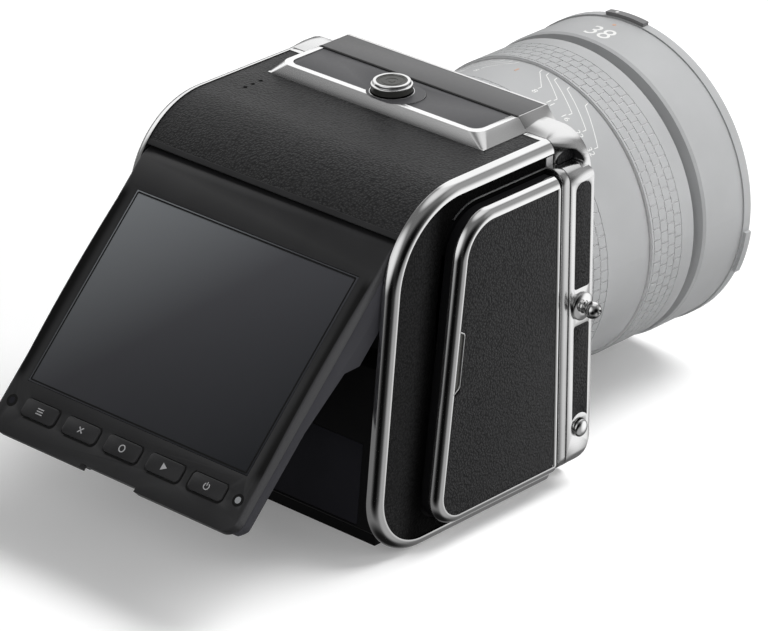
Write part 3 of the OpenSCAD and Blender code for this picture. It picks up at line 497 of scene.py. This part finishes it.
# anodised metal; where a line colour is given, the cut lines of a knurl are paler at their bottom, painted
# light that lifts the shade in them
def anodised(name, colour, roughness, metal=0.25, line=None):
    shade = surface(name)
    tone = shade.drift(60, toned(colour, 0.96), toned(colour, 1.04))
    # painted light at the bottom of the knurl's cut lines
    if line:
        away = shade.awayFrom(Vector((0, 0, lens["axis"] * mm)), (1, 0, 1))
        deep = shade.rise(away, (lens["ring"] - 0.06) * mm, (lens["ring"] - 0.2) * mm, kind="LINEAR")
        tone = shade.mix(deep, tone, (*line, 1))
    return shade.done(Base_Color=tone, Metallic=metal, Roughness=shade.grain(roughness, 0.08, 1200, 3),
                      Normal=shade.bump(shade.noise(4200, 2), 0.05, 0.02 * mm))


# glass with a tone that changes along a direction, about a middle: on the screen glass this is a painted
# reflection
def darkGlass(name, stops, direction, middle, spread, gloss):
    shade = surface(name)
    along = (shade.dot(shade.place(), direction) - middle) * (1 / spread) + 0.5
    return shade.done(Base_Color=shade.ramp(along, stops), Roughness=shade.grain(0.14, 0.04, 30, 2),
                      Specular_IOR_Level=gloss)


def paint(name, colour):
    shade = surface(name)
    return shade.done(Base_Color=shade.drift(800, toned(colour, 0.94), colour),
                      Roughness=shade.grain(0.6, 0.1, 2000, 2), Specular_IOR_Level=0.2)


# painted reflection on the screen glass, paler towards the upper left
glassReflectionSlope = Vector((0.75, -0.47, -0.47))
glassReflectionMiddle = glassReflectionSlope.dot(onScreen(0, -32.8, screen["face"]))
glassReflectionStops = [(0.0, (0.17, 0.18, 0.19)), (0.45, (0.06, 0.061, 0.067)), (1.0, (0.018, 0.019, 0.022))]
opticStops = [(0.0, (0.004, 0.006, 0.01)), (1.0, (0.012, 0.008, 0.016))]
lensGrey = (0.42, 0.425, 0.43)
finishes = {
    "leather": leatherette("leatherette"),
    # side covering with painted shade towards the door's rear edge
    "recess": leatherette("recess_leatherette", recessShadeFade),
    "chrome": brightTrim("polished_trim", 0.82, 0.1),
    "plateChrome": brightTrim("satin_plate", 0.9, 0.24),
    "steel": brightTrim("steel", 0.6, 0.28),
    "satin": brightTrim("satin_strip", 0.55, 0.2),
    # front frame metal, with painted shade in the recess above each rail
    "frame": brightTrim("frame_metal", 0.76, 0.2, railRecessShade),
    "line": brightTrim("bright_line", 0.85, 0.5),
    "cast": mattePlastic("black_cast", (0.006, 0.006, 0.0065), 0.5, 0.06),
    # screen frame with painted shade in the lip valleys and a painted highlight on the crests
    "bezel": bezelPlastic("bezel_black", (0.025, 0.025, 0.026), 0.32, 0.2),
    "shell": mattePlastic("shell_black", (0.04, 0.04, 0.046), 0.5),
    "bay": mattePlastic("bay_dark", (0.012, 0.012, 0.016), 0.48),
    "lip": mattePlastic("lip_grey", (0.03, 0.03, 0.031), 0.45),
    "board": mattePlastic("circuit_board", (0.012, 0.06, 0.03), 0.5),
    "insert": anodised("insert_grey", (0.06, 0.06, 0.064), 0.45),
    "strip": anodised("strip_grey", (0.1, 0.1, 0.102), 0.42),
    "knob": anodised("knob_grey", (0.05, 0.05, 0.046), 0.4),
    "lens": anodised("lens_grey", lensGrey, 0.5, 0.1),
    # painted light: the groove between the lens rings is paler than the lens, lifting its shade
    "lensGrooveLit": anodised("groove_grey", (0.66, 0.66, 0.665), 0.5, 0.1),
    # lens rings with painted light in the knurl's cut lines
    "knurl": anodised("ring_grey", lensGrey, 0.5, 0.1, (0.8, 0.8, 0.805)),
    "tab": anodised("tab_grey", (0.17, 0.17, 0.172), 0.5, 0.1),
    # screen glass with a painted reflection
    "glass": darkGlass("screen_glass", glassReflectionStops, glassReflectionSlope, glassReflectionMiddle, 0.08, 0.08),
    "optic": darkGlass("coated_optic", opticStops, Vector((0, 0, 1)), 0.044, 0.06, 0.5),
    "mark": paint("pale_mark", (0.8, 0.8, 0.79)),
    "iconGrey": paint("icon_grey", (0.42, 0.42, 0.43)),
    "orange": paint("orange_mark", (0.58, 0.36, 0.26)),
    "light": paint("lamp_grey", (0.3, 0.31, 0.32)),
    "gap": paint("gap_black", (0.002, 0.002, 0.002)),
}
print("finishes made:", len(finishes))


# camera at the photograph's viewing angle
cameraView = {"location": (718.75, -784.1, 532.19), "azimuth": 42.997, "elevation": 25.354, "roll": 0.08,
              "lens": 234.4, "shift": (-0.01155, -0.0007)}


def addCamera(view):
    azimuth = math.radians(view["azimuth"])
    elevation = math.radians(view["elevation"])
    turn = Matrix.Rotation(azimuth, 4, "Z") @ Matrix.Rotation(math.radians(90) - elevation, 4, "X")
    turn = turn @ Matrix.Rotation(math.radians(view["roll"]), 4, "Z")
    bpy.ops.object.camera_add(location=[v * mm for v in view["location"]], rotation=turn.to_euler())
    camera = bpy.context.object
    camera.data.lens = view["lens"]
    camera.data.shift_x, camera.data.shift_y = view["shift"]
    camera.data.clip_start = 0.05
    bpy.context.scene.camera = camera


# studio: pale floor that lifts to white with distance in metres, soft lamps, white surroundings
studio = {"floorSize": 12.0, "floorTone": 0.9, "floorLift": 0.18, "farLift": 0.62, "liftReach": (0.15, 0.5),
          "sky": 0.26}
lamps = [
    {"name": "topSoftbox", "at": (0.3, 0.4, 0.98), "size": 0.55, "power": 10.0},
    {"name": "rightSoftbox", "at": (1.0, 0.25, 0.55), "size": 0.7, "power": 2.6},
    {"name": "rearSoftbox", "at": (0.5, -1.0, 0.8), "size": 0.7, "power": 2.2},
]
# softboxes and black flags that only reflections meet, far round the object:
# degrees from the right towards the front, degrees up, full and outer reach in degrees, tone
dome = {"radius": 3.0, "tone": 0.17, "fields": [
    {"at": (-8, 7), "reach": (6, 44), "tone": 0.004},  # black flag at the right
    {"at": (-52, -16), "reach": (5, 38), "tone": 0.003},  # black flag below the camera
    {"at": (-92, 25), "reach": (5, 42), "tone": 0.9},  # softbox behind
    {"at": (0, -90), "reach": (12, 42), "tone": 0.01},  # black flag under the object
    {"at": (16, -34), "reach": (8, 34), "tone": 0.4},  # low card at the right
    {"at": (52, 28), "reach": (6, 26), "tone": 0.36},  # glow at the front right
    {"at": (55, -11), "reach": (9, 33), "tone": 1.15},  # low card at the front right
    {"at": (75, 72), "reach": (8, 32), "tone": 0.8},  # softbox overhead
    {"at": (104, 42), "reach": (15, 27), "tone": 1.15},  # softbox in front
    {"at": (130, 27), "reach": (14, 30), "tone": 1.15},  # softbox at the front left
    {"at": (174, 32), "reach": (12, 34), "tone": 1.1},  # glow far left
]}


# 1 for the rays that show the background, to the camera or through gloss and glass
def backgroundRay(shade):
    seen = shade.node("LightPath", out="Is Camera Ray")
    for ray in ("Is Glossy Ray", "Is Transmission Ray"):
        seen = seen.math("MAXIMUM", seen, shade.node("LightPath", out=ray))
    return seen


def addWorld():
    world = bpy.data.worlds.new("studio")
    bpy.context.scene.world = world
    bpy.context.scene.view_settings.view_transform = "Standard"
    shade = Shade(world, "Background")
    level = shade.rise(backgroundRay(shade), 0.0, 1.0, studio["sky"], 1.0, "LINEAR")
    shade.done(Color=(1, 1, 1, 1), Strength=level)


def addFloor():
    bpy.ops.mesh.primitive_plane_add(size=studio["floorSize"], location=(0, 0, cadBox[0].z - 0.05 * mm))
    floor = bpy.context.object
    floor.name = "floor"
    shade = surface("floor_pale")
    tone = shade.drift(3, grey(studio["floorTone"] - 0.01), grey(studio["floorTone"]), 2)
    away = shade.node("VectorMath", {"operation": "LENGTH"}, {0: shade.place()}, "Value")
    lift = shade.rise(away, *studio["liftReach"], studio["floorLift"], studio["farLift"])
    floor.data.materials.append(shade.done(Base_Color=tone, Roughness=0.9, Specular_IOR_Level=0.0,
                                           Emission_Color=lift * backgroundRay(shade), Emission_Strength=1.0))
    floor.visible_glossy = False


def addLamps(aim):
    for lamp in lamps:
        bpy.ops.object.light_add(type="AREA", location=lamp["at"])
        light = bpy.context.object
        light.name = lamp["name"]
        light.data.size = lamp["size"]
        light.data.energy = lamp["power"]
        light.rotation_euler = (Vector(lamp["at"]) - aim).to_track_quat("Z", "Y").to_euler()
        light.visible_glossy = False


def addDome(middle):
    bpy.ops.mesh.primitive_uv_sphere_add(radius=dome["radius"], segments=48, ring_count=24, location=middle)
    ball = bpy.context.object
    ball.name = "reflection_dome"
    shade = surface("reflection_dome")
    where = shade.node("VectorMath", {"operation": "NORMALIZE"}, {0: shade.place()})
    level = dome["tone"]
    for field in dome["fields"]:
        turn, up = (math.radians(v) for v in field["at"])
        towards = Vector((math.cos(turn) * math.cos(up), math.sin(turn) * math.cos(up), math.sin(up)))
        inner, outer = (math.cos(math.radians(v)) for v in field["reach"])
        level = level + (field["tone"] - level) * shade.rise(shade.dot(where, towards), outer, inner)
    shade.done(Base_Color=(0, 0, 0, 1), Specular_IOR_Level=0.0, Emission_Color=level, Emission_Strength=1.0)
    shade.owner.cycles.emission_sampling = "NONE"
    ball.data.materials.append(shade.owner)
    for seen in ("camera", "diffuse", "transmission", "volume_scatter", "shadow"):
        setattr(ball, "visible_" + seen, False)


addCamera(cameraView)
addWorld()
addFloor()
addLamps((cadBox[0] + cadBox[1]) / 2)
addDome((cadBox[0] + cadBox[1]) / 2)
print("camera and studio set")


# the leaning, rounded side outline of the back and of a door: the middle of a corner's arc
def arcCentre(part, radius, z):
    lean = math.radians(part["lean"])
    return (-part["depth"] + (radius + z * math.sin(lean)) / math.cos(lean), z)


# the way round that outline, from its front at the top to its front at the foot
def edgeRuns(part, front):
    top = arcCentre(part, part["topRadius"], part["top"] - part["topRadius"])
    low = arcCentre(part, part["lowRadius"], part["low"] + part["lowRadius"])
    lean = math.radians(part["lean"])
    normal = (-math.cos(lean), math.sin(lean))
    topEnd = [top[i] + part["topRadius"] * normal[i] for i in range(2)]
    lowStart = [low[i] + part["lowRadius"] * normal[i] for i in range(2)]
    straight = Vector((0, (lowStart[0] - topEnd[0]) * mm, (lowStart[1] - topEnd[1]) * mm))
    return [Vector((0, (top[0] - front) * mm, 0)), (at(0, *top), 90 - part["lean"]), straight,
            (at(0, *low), 90 + part["lean"]), Vector((0, (front - low[0]) * mm, 0))]


# a quarter-round bead at the upper front end of an edge
def beadSection(x, front, edge, radius):
    middle = (x, edge - radius)
    return [at(u, front, z) for u, z in [middle] + arcPoints(middle, radius, 90, 0, 12)]


def addSideTrims():
    section = beadSection(back["cheek"], 0, back["top"], back["trimRadius"])
    addBoth(sweep("trim_bead", section, edgeRuns(back, 0)), "trim_bead", "chrome", "side_trim", "camera")


addSideTrims()


# the covering over the top of the back, with three small holes, and the hem at its rear edge
covering = {"drop": 0.2, "thick": 0.8, "lip": 77.6, "gap": 0.05, "edge": 0.25, "holeSide": -31.3,
            "holes": (-24.5, -21.95, -19.4), "holeRadius": 0.55}
hem = {"turn": 3.5, "overlap": 3.4, "under": 0.4, "proud": 0.05, "edge": 0.15}


def addTopCovering():
    edge = back["top"] - covering["drop"]
    half = back["cheek"] - covering["gap"]
    top = arcCentre(back, back["topRadius"], back["top"] - back["topRadius"])
    radius = back["topRadius"] - covering["drop"]
    turn = 90 - math.degrees(math.asin((covering["lip"] - top[1]) / radius))
    section = [at(x, 0, z) for x, z in rectangle(-half, edge - covering["thick"], half, edge)]
    skin = sweep("top_covering_skin", section, [Vector((0, top[0] * mm, 0)), (at(0, *top), turn)])
    softEdges(skin, covering["edge"], 3, 60)
    below, above = edge - 2.4, edge + 1.6  # the cutters pass right through the covering
    side, behind = plate["half"] + covering["gap"], plate["depth"] + covering["gap"]
    foot = [at(x, d, below) for x, d in rectangle(-side, -behind, side, 1)]
    cutOut(skin, panel("plate_cutter", foot, Vector((0, 0, (above - below) * mm))))
    bore = rectangle(0, below, covering["holeRadius"], above)
    for d in covering["holes"]:
        cutOut(skin, turned("hole_cutter", bore, at(covering["holeSide"], d, 0), (0, 0, 1), 24))
    smooth(skin, 40)
    finish(skin, "leather", ["top_covering"])

    start = math.radians(turn - hem["overlap"])
    corners = rectangle(-half, radius - hem["under"], half, radius + hem["proud"])
    section = [at(x, top[0] - r * math.sin(start), top[1] + r * math.cos(start)) for x, r in corners]
    strip = sweep("covering_hem", section, [(at(0, *top), hem["turn"])], 4)
    softEdges(strip, hem["edge"], 3, 60)
    smooth(strip, 40)
    finish(strip, "lip", body=bodyOfNode["top_covering"])


addTopCovering()
print("back trims and covering made")


# the catch on a door's rear edge, as (up from its middle, forward from the bead)
catch = {"middle": 46.6, "outer": [(-8, -0.2), (-6.6, 1.5), (-6, 1.8), (6.2, 1.8), (6.8, 1.5), (7.6, -0.2)],
         "inner": [(7.1, -0.2), (6.5, 1.25), (6, 1.5), (-5.8, 1.5), (-6.3, 1.25), (-7.4, -0.2)],
         "lipBase": 46.6, "lipThick": 0.42, "floorBase": 46.5, "floorThick": 0.2}


def catchPoints(points, x):
    lean = math.radians(door["lean"])
    places = []
    for up, past in points:
        forward = door["beadRadius"] + past
        d = (catch["middle"] * math.tan(lean) - door["depth"] + up * math.sin(lean)
             + forward * math.cos(lean))
        places.append(at(x, d, catch["middle"] + up * math.cos(lean) - forward * math.sin(lean)))
    return places


def addDoorTrims():
    bead = beadSection(door["face"] - door["beadRadius"], -door["front"], door["top"], door["beadRadius"])
    trim = sweep("door_bead", bead, edgeRuns(door, -door["front"]))
    low, high = door["hingeSpan"]
    barrel = rectangle(0, low, door["hingeRadius"], high)
    pin = turned("door_barrel", barrel, at(door["hinge"], -door["front"], 0), (0, 0, 1), 32)
    lip = panel("catch_lip", catchPoints(catch["outer"] + catch["inner"], catch["lipBase"]),
                Vector((catch["lipThick"] * mm, 0, 0)))
    addBoth(joined("door_bright_edge", [trim, pin]), "door_bead", "chrome", "door_trim", "door")
    softEdges(lip, 0.1, 2, 20)
    addBoth(lip, "catch_lip", "steel", None, "door")
    floor = panel("catch_floor", catchPoints(catch["inner"], catch["floorBase"]),
                  Vector((catch["floorThick"] * mm, 0, 0)))
    addBoth(floor, "catch_floor", "knob", None, "door")


addDoorTrims()


# short bright bars where the side trims turn in along the front of the covering
coverEnd = {"across": (33.9, 39.25), "along": (-1.5, -0.05), "drop": 0.26, "thick": 0.24, "edge": 0.08}


def addCoverEnds():
    (x0, x1), (d0, d1) = coverEnd["across"], coverEnd["along"]
    outline = [at(x, d, back["top"] - coverEnd["drop"]) for x, d in rectangle(x0, d0, x1, d1)]
    bar = panel("cover_end", outline, Vector((0, 0, coverEnd["thick"] * mm)))
    softEdges(bar, coverEnd["edge"], 2, 60)
    addBoth(bar, "cover_end", "chrome", None, "camera")


addCoverEnds()


# thin bright line above the foot of a door, and the short bright end of the dock strip above it
doorLine = {"gap": 0.9, "front": -2.4, "across": (41.55, 41.85), "thick": 0.28, "turn": 40}
stripEnd = {"face": 41, "along": (-2.3, -0.1), "up": (81.2, 83.3), "thick": 0.75}


def addDoorSurround():
    gap = doorLine["gap"]
    foot = dict(door, depth=door["depth"] + gap, top=door["top"] + gap, low=door["low"] - gap,
                topRadius=door["topRadius"] + gap, lowRadius=door["lowRadius"] + gap)
    x0, x1 = doorLine["across"]
    corners = rectangle(x0, foot["top"], x1, foot["top"] - doorLine["thick"])
    runs = edgeRuns(foot, doorLine["front"])
    line = sweep("door_line", [at(x, doorLine["front"], z) for x, z in corners],
                 [runs[0], (runs[1][0], doorLine["turn"])])
    (d0, d1), (z0, z1) = stripEnd["along"], stripEnd["up"]
    end = panel("strip_end", [at(stripEnd["face"], d, z) for d, z in rectangle(d0, z0, d1, z1)],
                Vector((stripEnd["thick"] * mm, 0, 0)))
    addBoth(joined("door_surround", [line, end]), "door_surround", "line", None, "camera")


addDoorSurround()
print("door edges made")


# profiles of the release knob as (radius, height)
knob = {
    "foot": [(0, 86.6), (2, 86.6), (2, 89.8), (4.7, 89.8), (4.82, 89.92), (4.82, 91.3), (0, 91.3)],
    "ring": [(3.62, 91.3), (4.84, 91.3), (4.88, 91.38), (4.84, 91.48), (4.5, 91.6), (4.44, 91.68),
             (4.44, 92.08), (4.34, 92.24), (4.2, 92.3), (3.8, 92.3), (3.66, 92.24), (3.62, 92.1)],
    "disc": [(0, 91.2), (3.6, 91.2), (3.6, 92.08), (3.15, 92.1), (3.05, 92.02), (2.45, 92.02), (2.35, 92.1),
             (1.55, 92.1), (1.45, 92.02), (0.85, 92.02), (0.75, 92.1), (0, 92.1)],
}


def addKnob():
    centre = at(0, -plate["knobBack"], 0)
    made = {part: turned("knob_" + part, profile, centre, (0, 0, 1), 64) for part, profile in knob.items()}
    for piece in made.values():
        smooth(piece, 30)
    finish(made["foot"], "knob", body="knob")
    finish(made["ring"], "chrome", ["release_knob"])
    finish(made["disc"], "knob", ["release_knob_cap"])


addKnob()


# the knob's surround, rim and dark well, as radii round its slot, and the dark joint in front of the plate;
# the dark well is a flat black sheet of painted shade under the knob
knobSlot = {"travel": 2.5, "surround": 5.98, "rim": 5.28, "well": 5.1, "stem": 2.4}
plateGroove = {"half": 30.9, "along": (-0.3, 0.4), "thick": 0.04}


def slotOutline(radius, z):
    behind = -plate["knobBack"]
    outline = (arcPoints((knobSlot["travel"], behind), radius, -90, 90, 24)
               + arcPoints((0, behind), radius, 90, 270, 24))
    return [at(x, d, z) for x, d in outline]


def circleOutline(radius, z):
    return [at(x, d, z) for x, d in ringPoints((0, -plate["knobBack"]), radius, 60)]


def addPlateGaps():
    top = plate["top"]
    rings = [
        ("surround", slotOutline, circleOutline, "rim", 0.03, "insert"),
        ("rim", circleOutline, circleOutline, "well", 0.08, "line"),
        # painted shade: a flat black sheet round the stem, under the knob
        ("well", circleOutline, slotOutline, "stem", 0.05, "cast"),
    ]
    for part, outer, inner, within, thick, finishName in rings:
        obj = panel("knob_" + part, outer(knobSlot[part], top), Vector((0, 0, thick * mm)))
        cutOut(obj, panel("inner_cutter", inner(knobSlot[within], top - 1), Vector((0, 0, 2 * mm))))
        finish(obj, finishName, body="camera")
    half, (d0, d1) = plateGroove["half"], plateGroove["along"]
    groove = [at(x, d, top) for x, d in rectangle(-half, d0, half, d1)]
    finish(panel("plate_groove", groove, Vector((0, 0, plateGroove["thick"] * mm))), "gap", body="camera")


addPlateGaps()


# profiles of a strap lug and of a rail cap as (radius, distance out from the rail)
lug = {"at": (44, 4.6, 46), "ball": 2.1, "ballOut": 6.4, "tip": [(0.62, 8.3), (0.5, 7.85), (0, 7.75)],
       "stud": [(0, 0), (1.5, 0), (1.5, 3.05), (3.4, 3.05), (3.4, 3.5), (3.1, 3.75), (1.6, 3.95), (1.3, 4.6)]}
railCap = {"at": (44, 4.6, 15), "radius": 2.15, "crownOut": 3.5, "crownRise": 0.85,
           "stem": [(0, 0), (1.85, 0), (1.85, 3.35), (2.15, 3.4)]}


def addLugs():
    ball = arcPoints((0, lug["ballOut"]), lug["ball"], -50, 70, 12)
    stud = turned("lug", lug["stud"] + ball + lug["tip"], at(*lug["at"]), (1, 0, 0), 64)
    angles = [math.radians(a) for a in range(0, 91, 10)]
    crown = [(railCap["radius"] * math.cos(a), railCap["crownOut"] + railCap["crownRise"] * math.sin(a))
             for a in angles]
    cap = turned("rail_cap", railCap["stem"] + crown, at(*railCap["at"]), (1, 0, 0), 48)
    for piece, node in ((stud, "strap_lugs"), (cap, "rail_caps")):
        smooth(piece, 40)
        twin = mirrored(piece, "left_" + piece.name)
        finish(joined(node + "_finish", [piece, twin]), "chrome", [node])


addLugs()


# flat shapes from strokes, in a plane of the caller's choosing
def stroke(start, end, width):
    along = (Vector(end) - Vector(start)).normalized() * (width / 2)
    side = Vector((-along.y, along.x))
    return [Vector(start) + side, Vector(start) - side, Vector(end) - side, Vector(end) + side]


def curve(centre, radius, start, end, width):
    return (arcPoints(centre, radius + width / 2, start, end, 20)
            + arcPoints(centre, radius - width / 2, end, start, 20))


iconScale = 0.64
icons = {
    "menu_button": [stroke((-1.5, v), (1.5, v), 0.38) for v in (-0.95, 0, 0.95)],
    "cancel_button": [stroke((-1.05, -1.05), (1.05, 1.05), 0.42), stroke((-1.05, 1.05), (1.05, -1.05), 0.42)],
    "select_button": [curve((0, 0), 1.25, 0, 180, 0.42), curve((0, 0), 1.25, 180, 360, 0.42)],
    "play_button": [[(-1.05, -1.4), (1.45, 0), (-1.05, 1.4)]],
    "power_button": [curve((0, -0.1), 1.2, 125, 415, 0.38), stroke((0, 0.1), (0, 1.5), 0.38)],
}
# painted shadow along the lower and right edges of a key, and all round the last one: a black strip that
# stands partly for the real gap round the key
keyGapShadow = {"half": (4.025, 1.0), "radius": 1.48, "width": 0.44, "deep": 0.25, "proud": 0.02}
screenLamp = {"side": 35.9, "ring": 1.5, "spot": 0.8}
glassLine = {"corners": (-34.1, -57.5, 34.1, -8.1), "width": 0.36}


def screenPlate(name, points, n, thick=0.05):
    out = onScreen(0, 0, 1) - onScreen(0, 0, 0)
    return panel(name, [onScreen(u, v, n) for u, v in points], out * thick)


def keyShadowShapes(allRound):
    u, v = keyGapShadow["half"]
    r, width = keyGapShadow["radius"], keyGapShadow["width"]
    shapes = [stroke((-u, -v - r), (u, -v - r), width), curve((u, -v), r, -90, 0, width),
              stroke((u + r, -v), (u + r, v), width), curve((u, v), r, 0, 60, width)]
    if allRound:
        shapes += [curve((-u, -v), r, 180, 270, width), stroke((-u - r, -v), (-u - r, v), width),
                   curve((-u, v), r, 120, 180, width)]
    return shapes


def addScreenMarks():
    face = screen["face"]
    for index, (node, shapes) in enumerate(icons.items()):
        middle = Vector(((index - 2) * screen["pitch"], -screen["buttonDrop"]))
        pieces = [screenPlate(node + "_stroke", [Vector(p) * iconScale + middle for p in shape],
                              face + screen["proud"]) for shape in shapes]
        finish(joined(node + "_icon", pieces), "iconGrey", body=bodyOfNode[node])
        # painted shadow: black strips in the gap round the key
        edges = [screenPlate("key_gap", [Vector(p) + middle for p in shape], face - keyGapShadow["deep"],
                             keyGapShadow["deep"] + keyGapShadow["proud"]) for shape in keyShadowShapes(node == "power_button")]
        finish(joined(node + "_gap", edges), "gap", body="screen")
    for side, finishName in ((-1, "bay"), (1, "light")):
        middle = (side * screenLamp["side"], -screen["buttonDrop"])
        ring = screenPlate("lamp_ring", ringPoints(middle, screenLamp["ring"]), face - 0.02)
        spot = screenPlate("lamp_spot", ringPoints(middle, screenLamp["spot"]), face + 0.01)
        finish(ring, "gap", body="screen")
        finish(spot, finishName, body="screen")
    corners = rectangle(*glassLine["corners"])
    lines = [screenPlate("glass_line", stroke(start, end, glassLine["width"]), face)
             for start, end in zip(corners, corners[1:] + corners[:1])]
    finish(joined("glass_line", lines), "gap", body="screen")


addScreenMarks()
print("knob, lugs and screen marks made")


# marks on the lens, in degrees round it and millimetres along it: brackets of the depth scale run from
# the far end (start) to the near end (end), with a bend at each
scaleMarks = {"brackets": [(6, 13.9), (9.2, 21.9), (13.2, 29.9), (19.6, 38), (29.2, 45.6)],
              "near": 31.9, "nearBend": 33.1, "farBend": 38.2, "far": 39.4, "width": 0.2,
              "numbers": ["8", "11", "16", "22", "32"], "numbersAt": 30.4, "numberHeight": 1.7}
indexMarks = {"turn": -1, "along": (34.4, 36), "width": 0.5, "dot": (-0.1, 69.6), "dotRadius": 0.5}
lensNumber = {"text": "38", "turn": 0.5, "along": 63.7, "height": 5.6}
rimTab = {"halfTurn": 8.55, "along": (73.15, 75.15), "sunk": -0.2, "proud": 0.93,
          "spotTurn": -4.4, "spotAlong": 74.1, "spotRadius": 0.45, "spotFrom": 0.9, "spotTo": 0.96}


# bends a flat piece, drawn in millimetres across and along, round the lens
def rolled(obj, radius):
    for vert in obj.data.vertices:
        across, along, up = vert.co
        vert.co = onLens(math.degrees(across / radius), along, radius + up)
    cleanMesh(obj)
    return obj


def lensShape(name, points, radius, low=-0.02, high=0.03):
    flat = panel(name, [Vector((p[0], p[1], low)) for p in points], Vector((0, 0, high - low)))
    editAll(flat)
    bpy.ops.mesh.subdivide(number_cuts=5)
    objectMode()
    return rolled(flat, radius)


def lensPath(name, points, radius, width):
    across = [(math.radians(turn) * radius, d) for turn, d in points]
    return [lensShape(name, stroke(start, end, width), radius) for start, end in zip(across, across[1:])]


def lensText(text, turn, d, radius, height):
    bpy.ops.object.text_add()
    obj = bpy.context.object
    obj.data.body = text
    obj.data.size = height * 1.38  # the font's size for digits of this height
    obj.data.align_x = "CENTER"
    obj.data.align_y = "CENTER"
    obj.data.resolution_u = 6
    bpy.ops.object.convert(target="MESH")
    obj = bpy.context.object
    editAll(obj)
    bpy.ops.mesh.extrude_region_move(TRANSFORM_OT_translate={"value": (0, 0, 0.04)})
    bpy.ops.mesh.select_all(action="SELECT")
    bpy.ops.transform.translate(value=(math.radians(turn) * radius, d, -0.01))
    objectMode()
    return rolled(obj, radius)


def addLensMarks():
    pieces = []
    for (start, end), number in zip(scaleMarks["brackets"], scaleMarks["numbers"]):
        for side in (-1, 1):
            path = [(side * (start - 0.5), scaleMarks["far"]), (side * start, scaleMarks["farBend"]),
                    (side * end, scaleMarks["nearBend"]), (side * end, scaleMarks["near"])]
            pieces += lensPath("bracket", path, lens["scale"], scaleMarks["width"])
            pieces.append(lensText(number, side * (end + 0.4), scaleMarks["numbersAt"], lens["scale"],
                                   scaleMarks["numberHeight"]))
    finish(joined("scale_marks", pieces), "mark", body="lens")
    index = lensPath("index", [(indexMarks["turn"], d) for d in indexMarks["along"]], lens["scale"],
                     indexMarks["width"])
    index.append(lensShape("index", ringPoints(indexMarks["dot"], indexMarks["dotRadius"]), lens["barrel"]))
    finish(joined("index_marks", index), "orange", body="lens")
    finish(lensText(lensNumber["text"], lensNumber["turn"], lensNumber["along"], lens["barrel"],
                    lensNumber["height"]), "mark", body="lens")
    half, (d0, d1) = math.radians(rimTab["halfTurn"]) * lens["rim"], rimTab["along"]
    finish(lensShape("rim_tab_finish", rectangle(-half, d0, half, d1), lens["rim"], rimTab["sunk"],
                     rimTab["proud"]), "tab", body="lens")
    middle = (math.radians(rimTab["spotTurn"]) * lens["rim"], rimTab["spotAlong"])
    spot = ringPoints(middle, rimTab["spotRadius"])
    finish(lensShape("rim_tab_spot", spot, lens["rim"], rimTab["spotFrom"], rimTab["spotTo"]), "mark",
           body="lens")


addLensMarks()
print("lens marks made")


# rounded copies of the machined and moulded pieces, as (node, edge radius, finish)
roundedPieces = [
    ("back_housing", 0.3, "cast"),
    ("right_side_covering", 0.12, "recess"), ("left_side_covering", 0.12, "recess"),
    ("dock_strips", 0.3, "satin"), ("top_plate_frame", 0.3, "plateChrome"),
    ("top_plate_insert", 0.1, "insert"), ("bay_panel", 0.2, "bay"),
    ("right_door_shell", 0.2, "cast"), ("left_door_shell", 0.2, "cast"),
    ("right_door_covering", 0.15, "leather"), ("left_door_covering", 0.15, "leather"),
    ("screen_bezel", 0.5, "bezel"), ("screen_rear_shell", 0.6, "shell"), ("screen_glass", 0.1, "glass"),
    ("menu_button", 0.3, "bezel"), ("cancel_button", 0.3, "bezel"), ("select_button", 0.3, "bezel"),
    ("play_button", 0.3, "bezel"), ("power_button", 0.3, "bezel"), ("front_body_frame", 0.3, "frame"),
    ("front_body_core", 0.3, "cast"), ("top_strip", 0.15, "strip"), ("right_body_covering", 0.1, "leather"),
    ("left_body_covering", 0.1, "leather"), ("front_covering", 0.15, "leather"), ("base_plate", 0.4, "cast"),
    ("control_dial", 0.15, "insert"), ("battery", 0.3, "cast"),
]
# CAD nodes that keep their own mesh, by finish
keptNodes = {
    "steel": ["hinge_pins", "usb_port", "lens_mount_ring", "card_slot"],
    "chrome": ["shutter_button", "lens_release_button"],
    "board": ["main_board", "button_board"],
    "optic": ["image_sensor", "sensor_filter", "display_panel", "front_element", "rear_element"],
    "light": ["status_light"],
    "bezel": ["light_sensor", "shutter_unit"],
    "lens": ["lens_barrel", "scale_sleeve", "front_barrel", "front_rim"],
    "knurl": ["control_ring", "focus_ring"],
    "lensGrooveLit": ["focus_sleeve"],
}


def addRoundedPieces():
    for node, width, finishName in roundedPieces:
        finish(refined(node, width), finishName, [node])
    for finishName, members in keptNodes.items():
        for node in members:
            nodes[node].data.materials.clear()
            nodes[node].data.materials.append(finishes[finishName])


addRoundedPieces()
print("rounded pieces made:", len(roundedPieces))
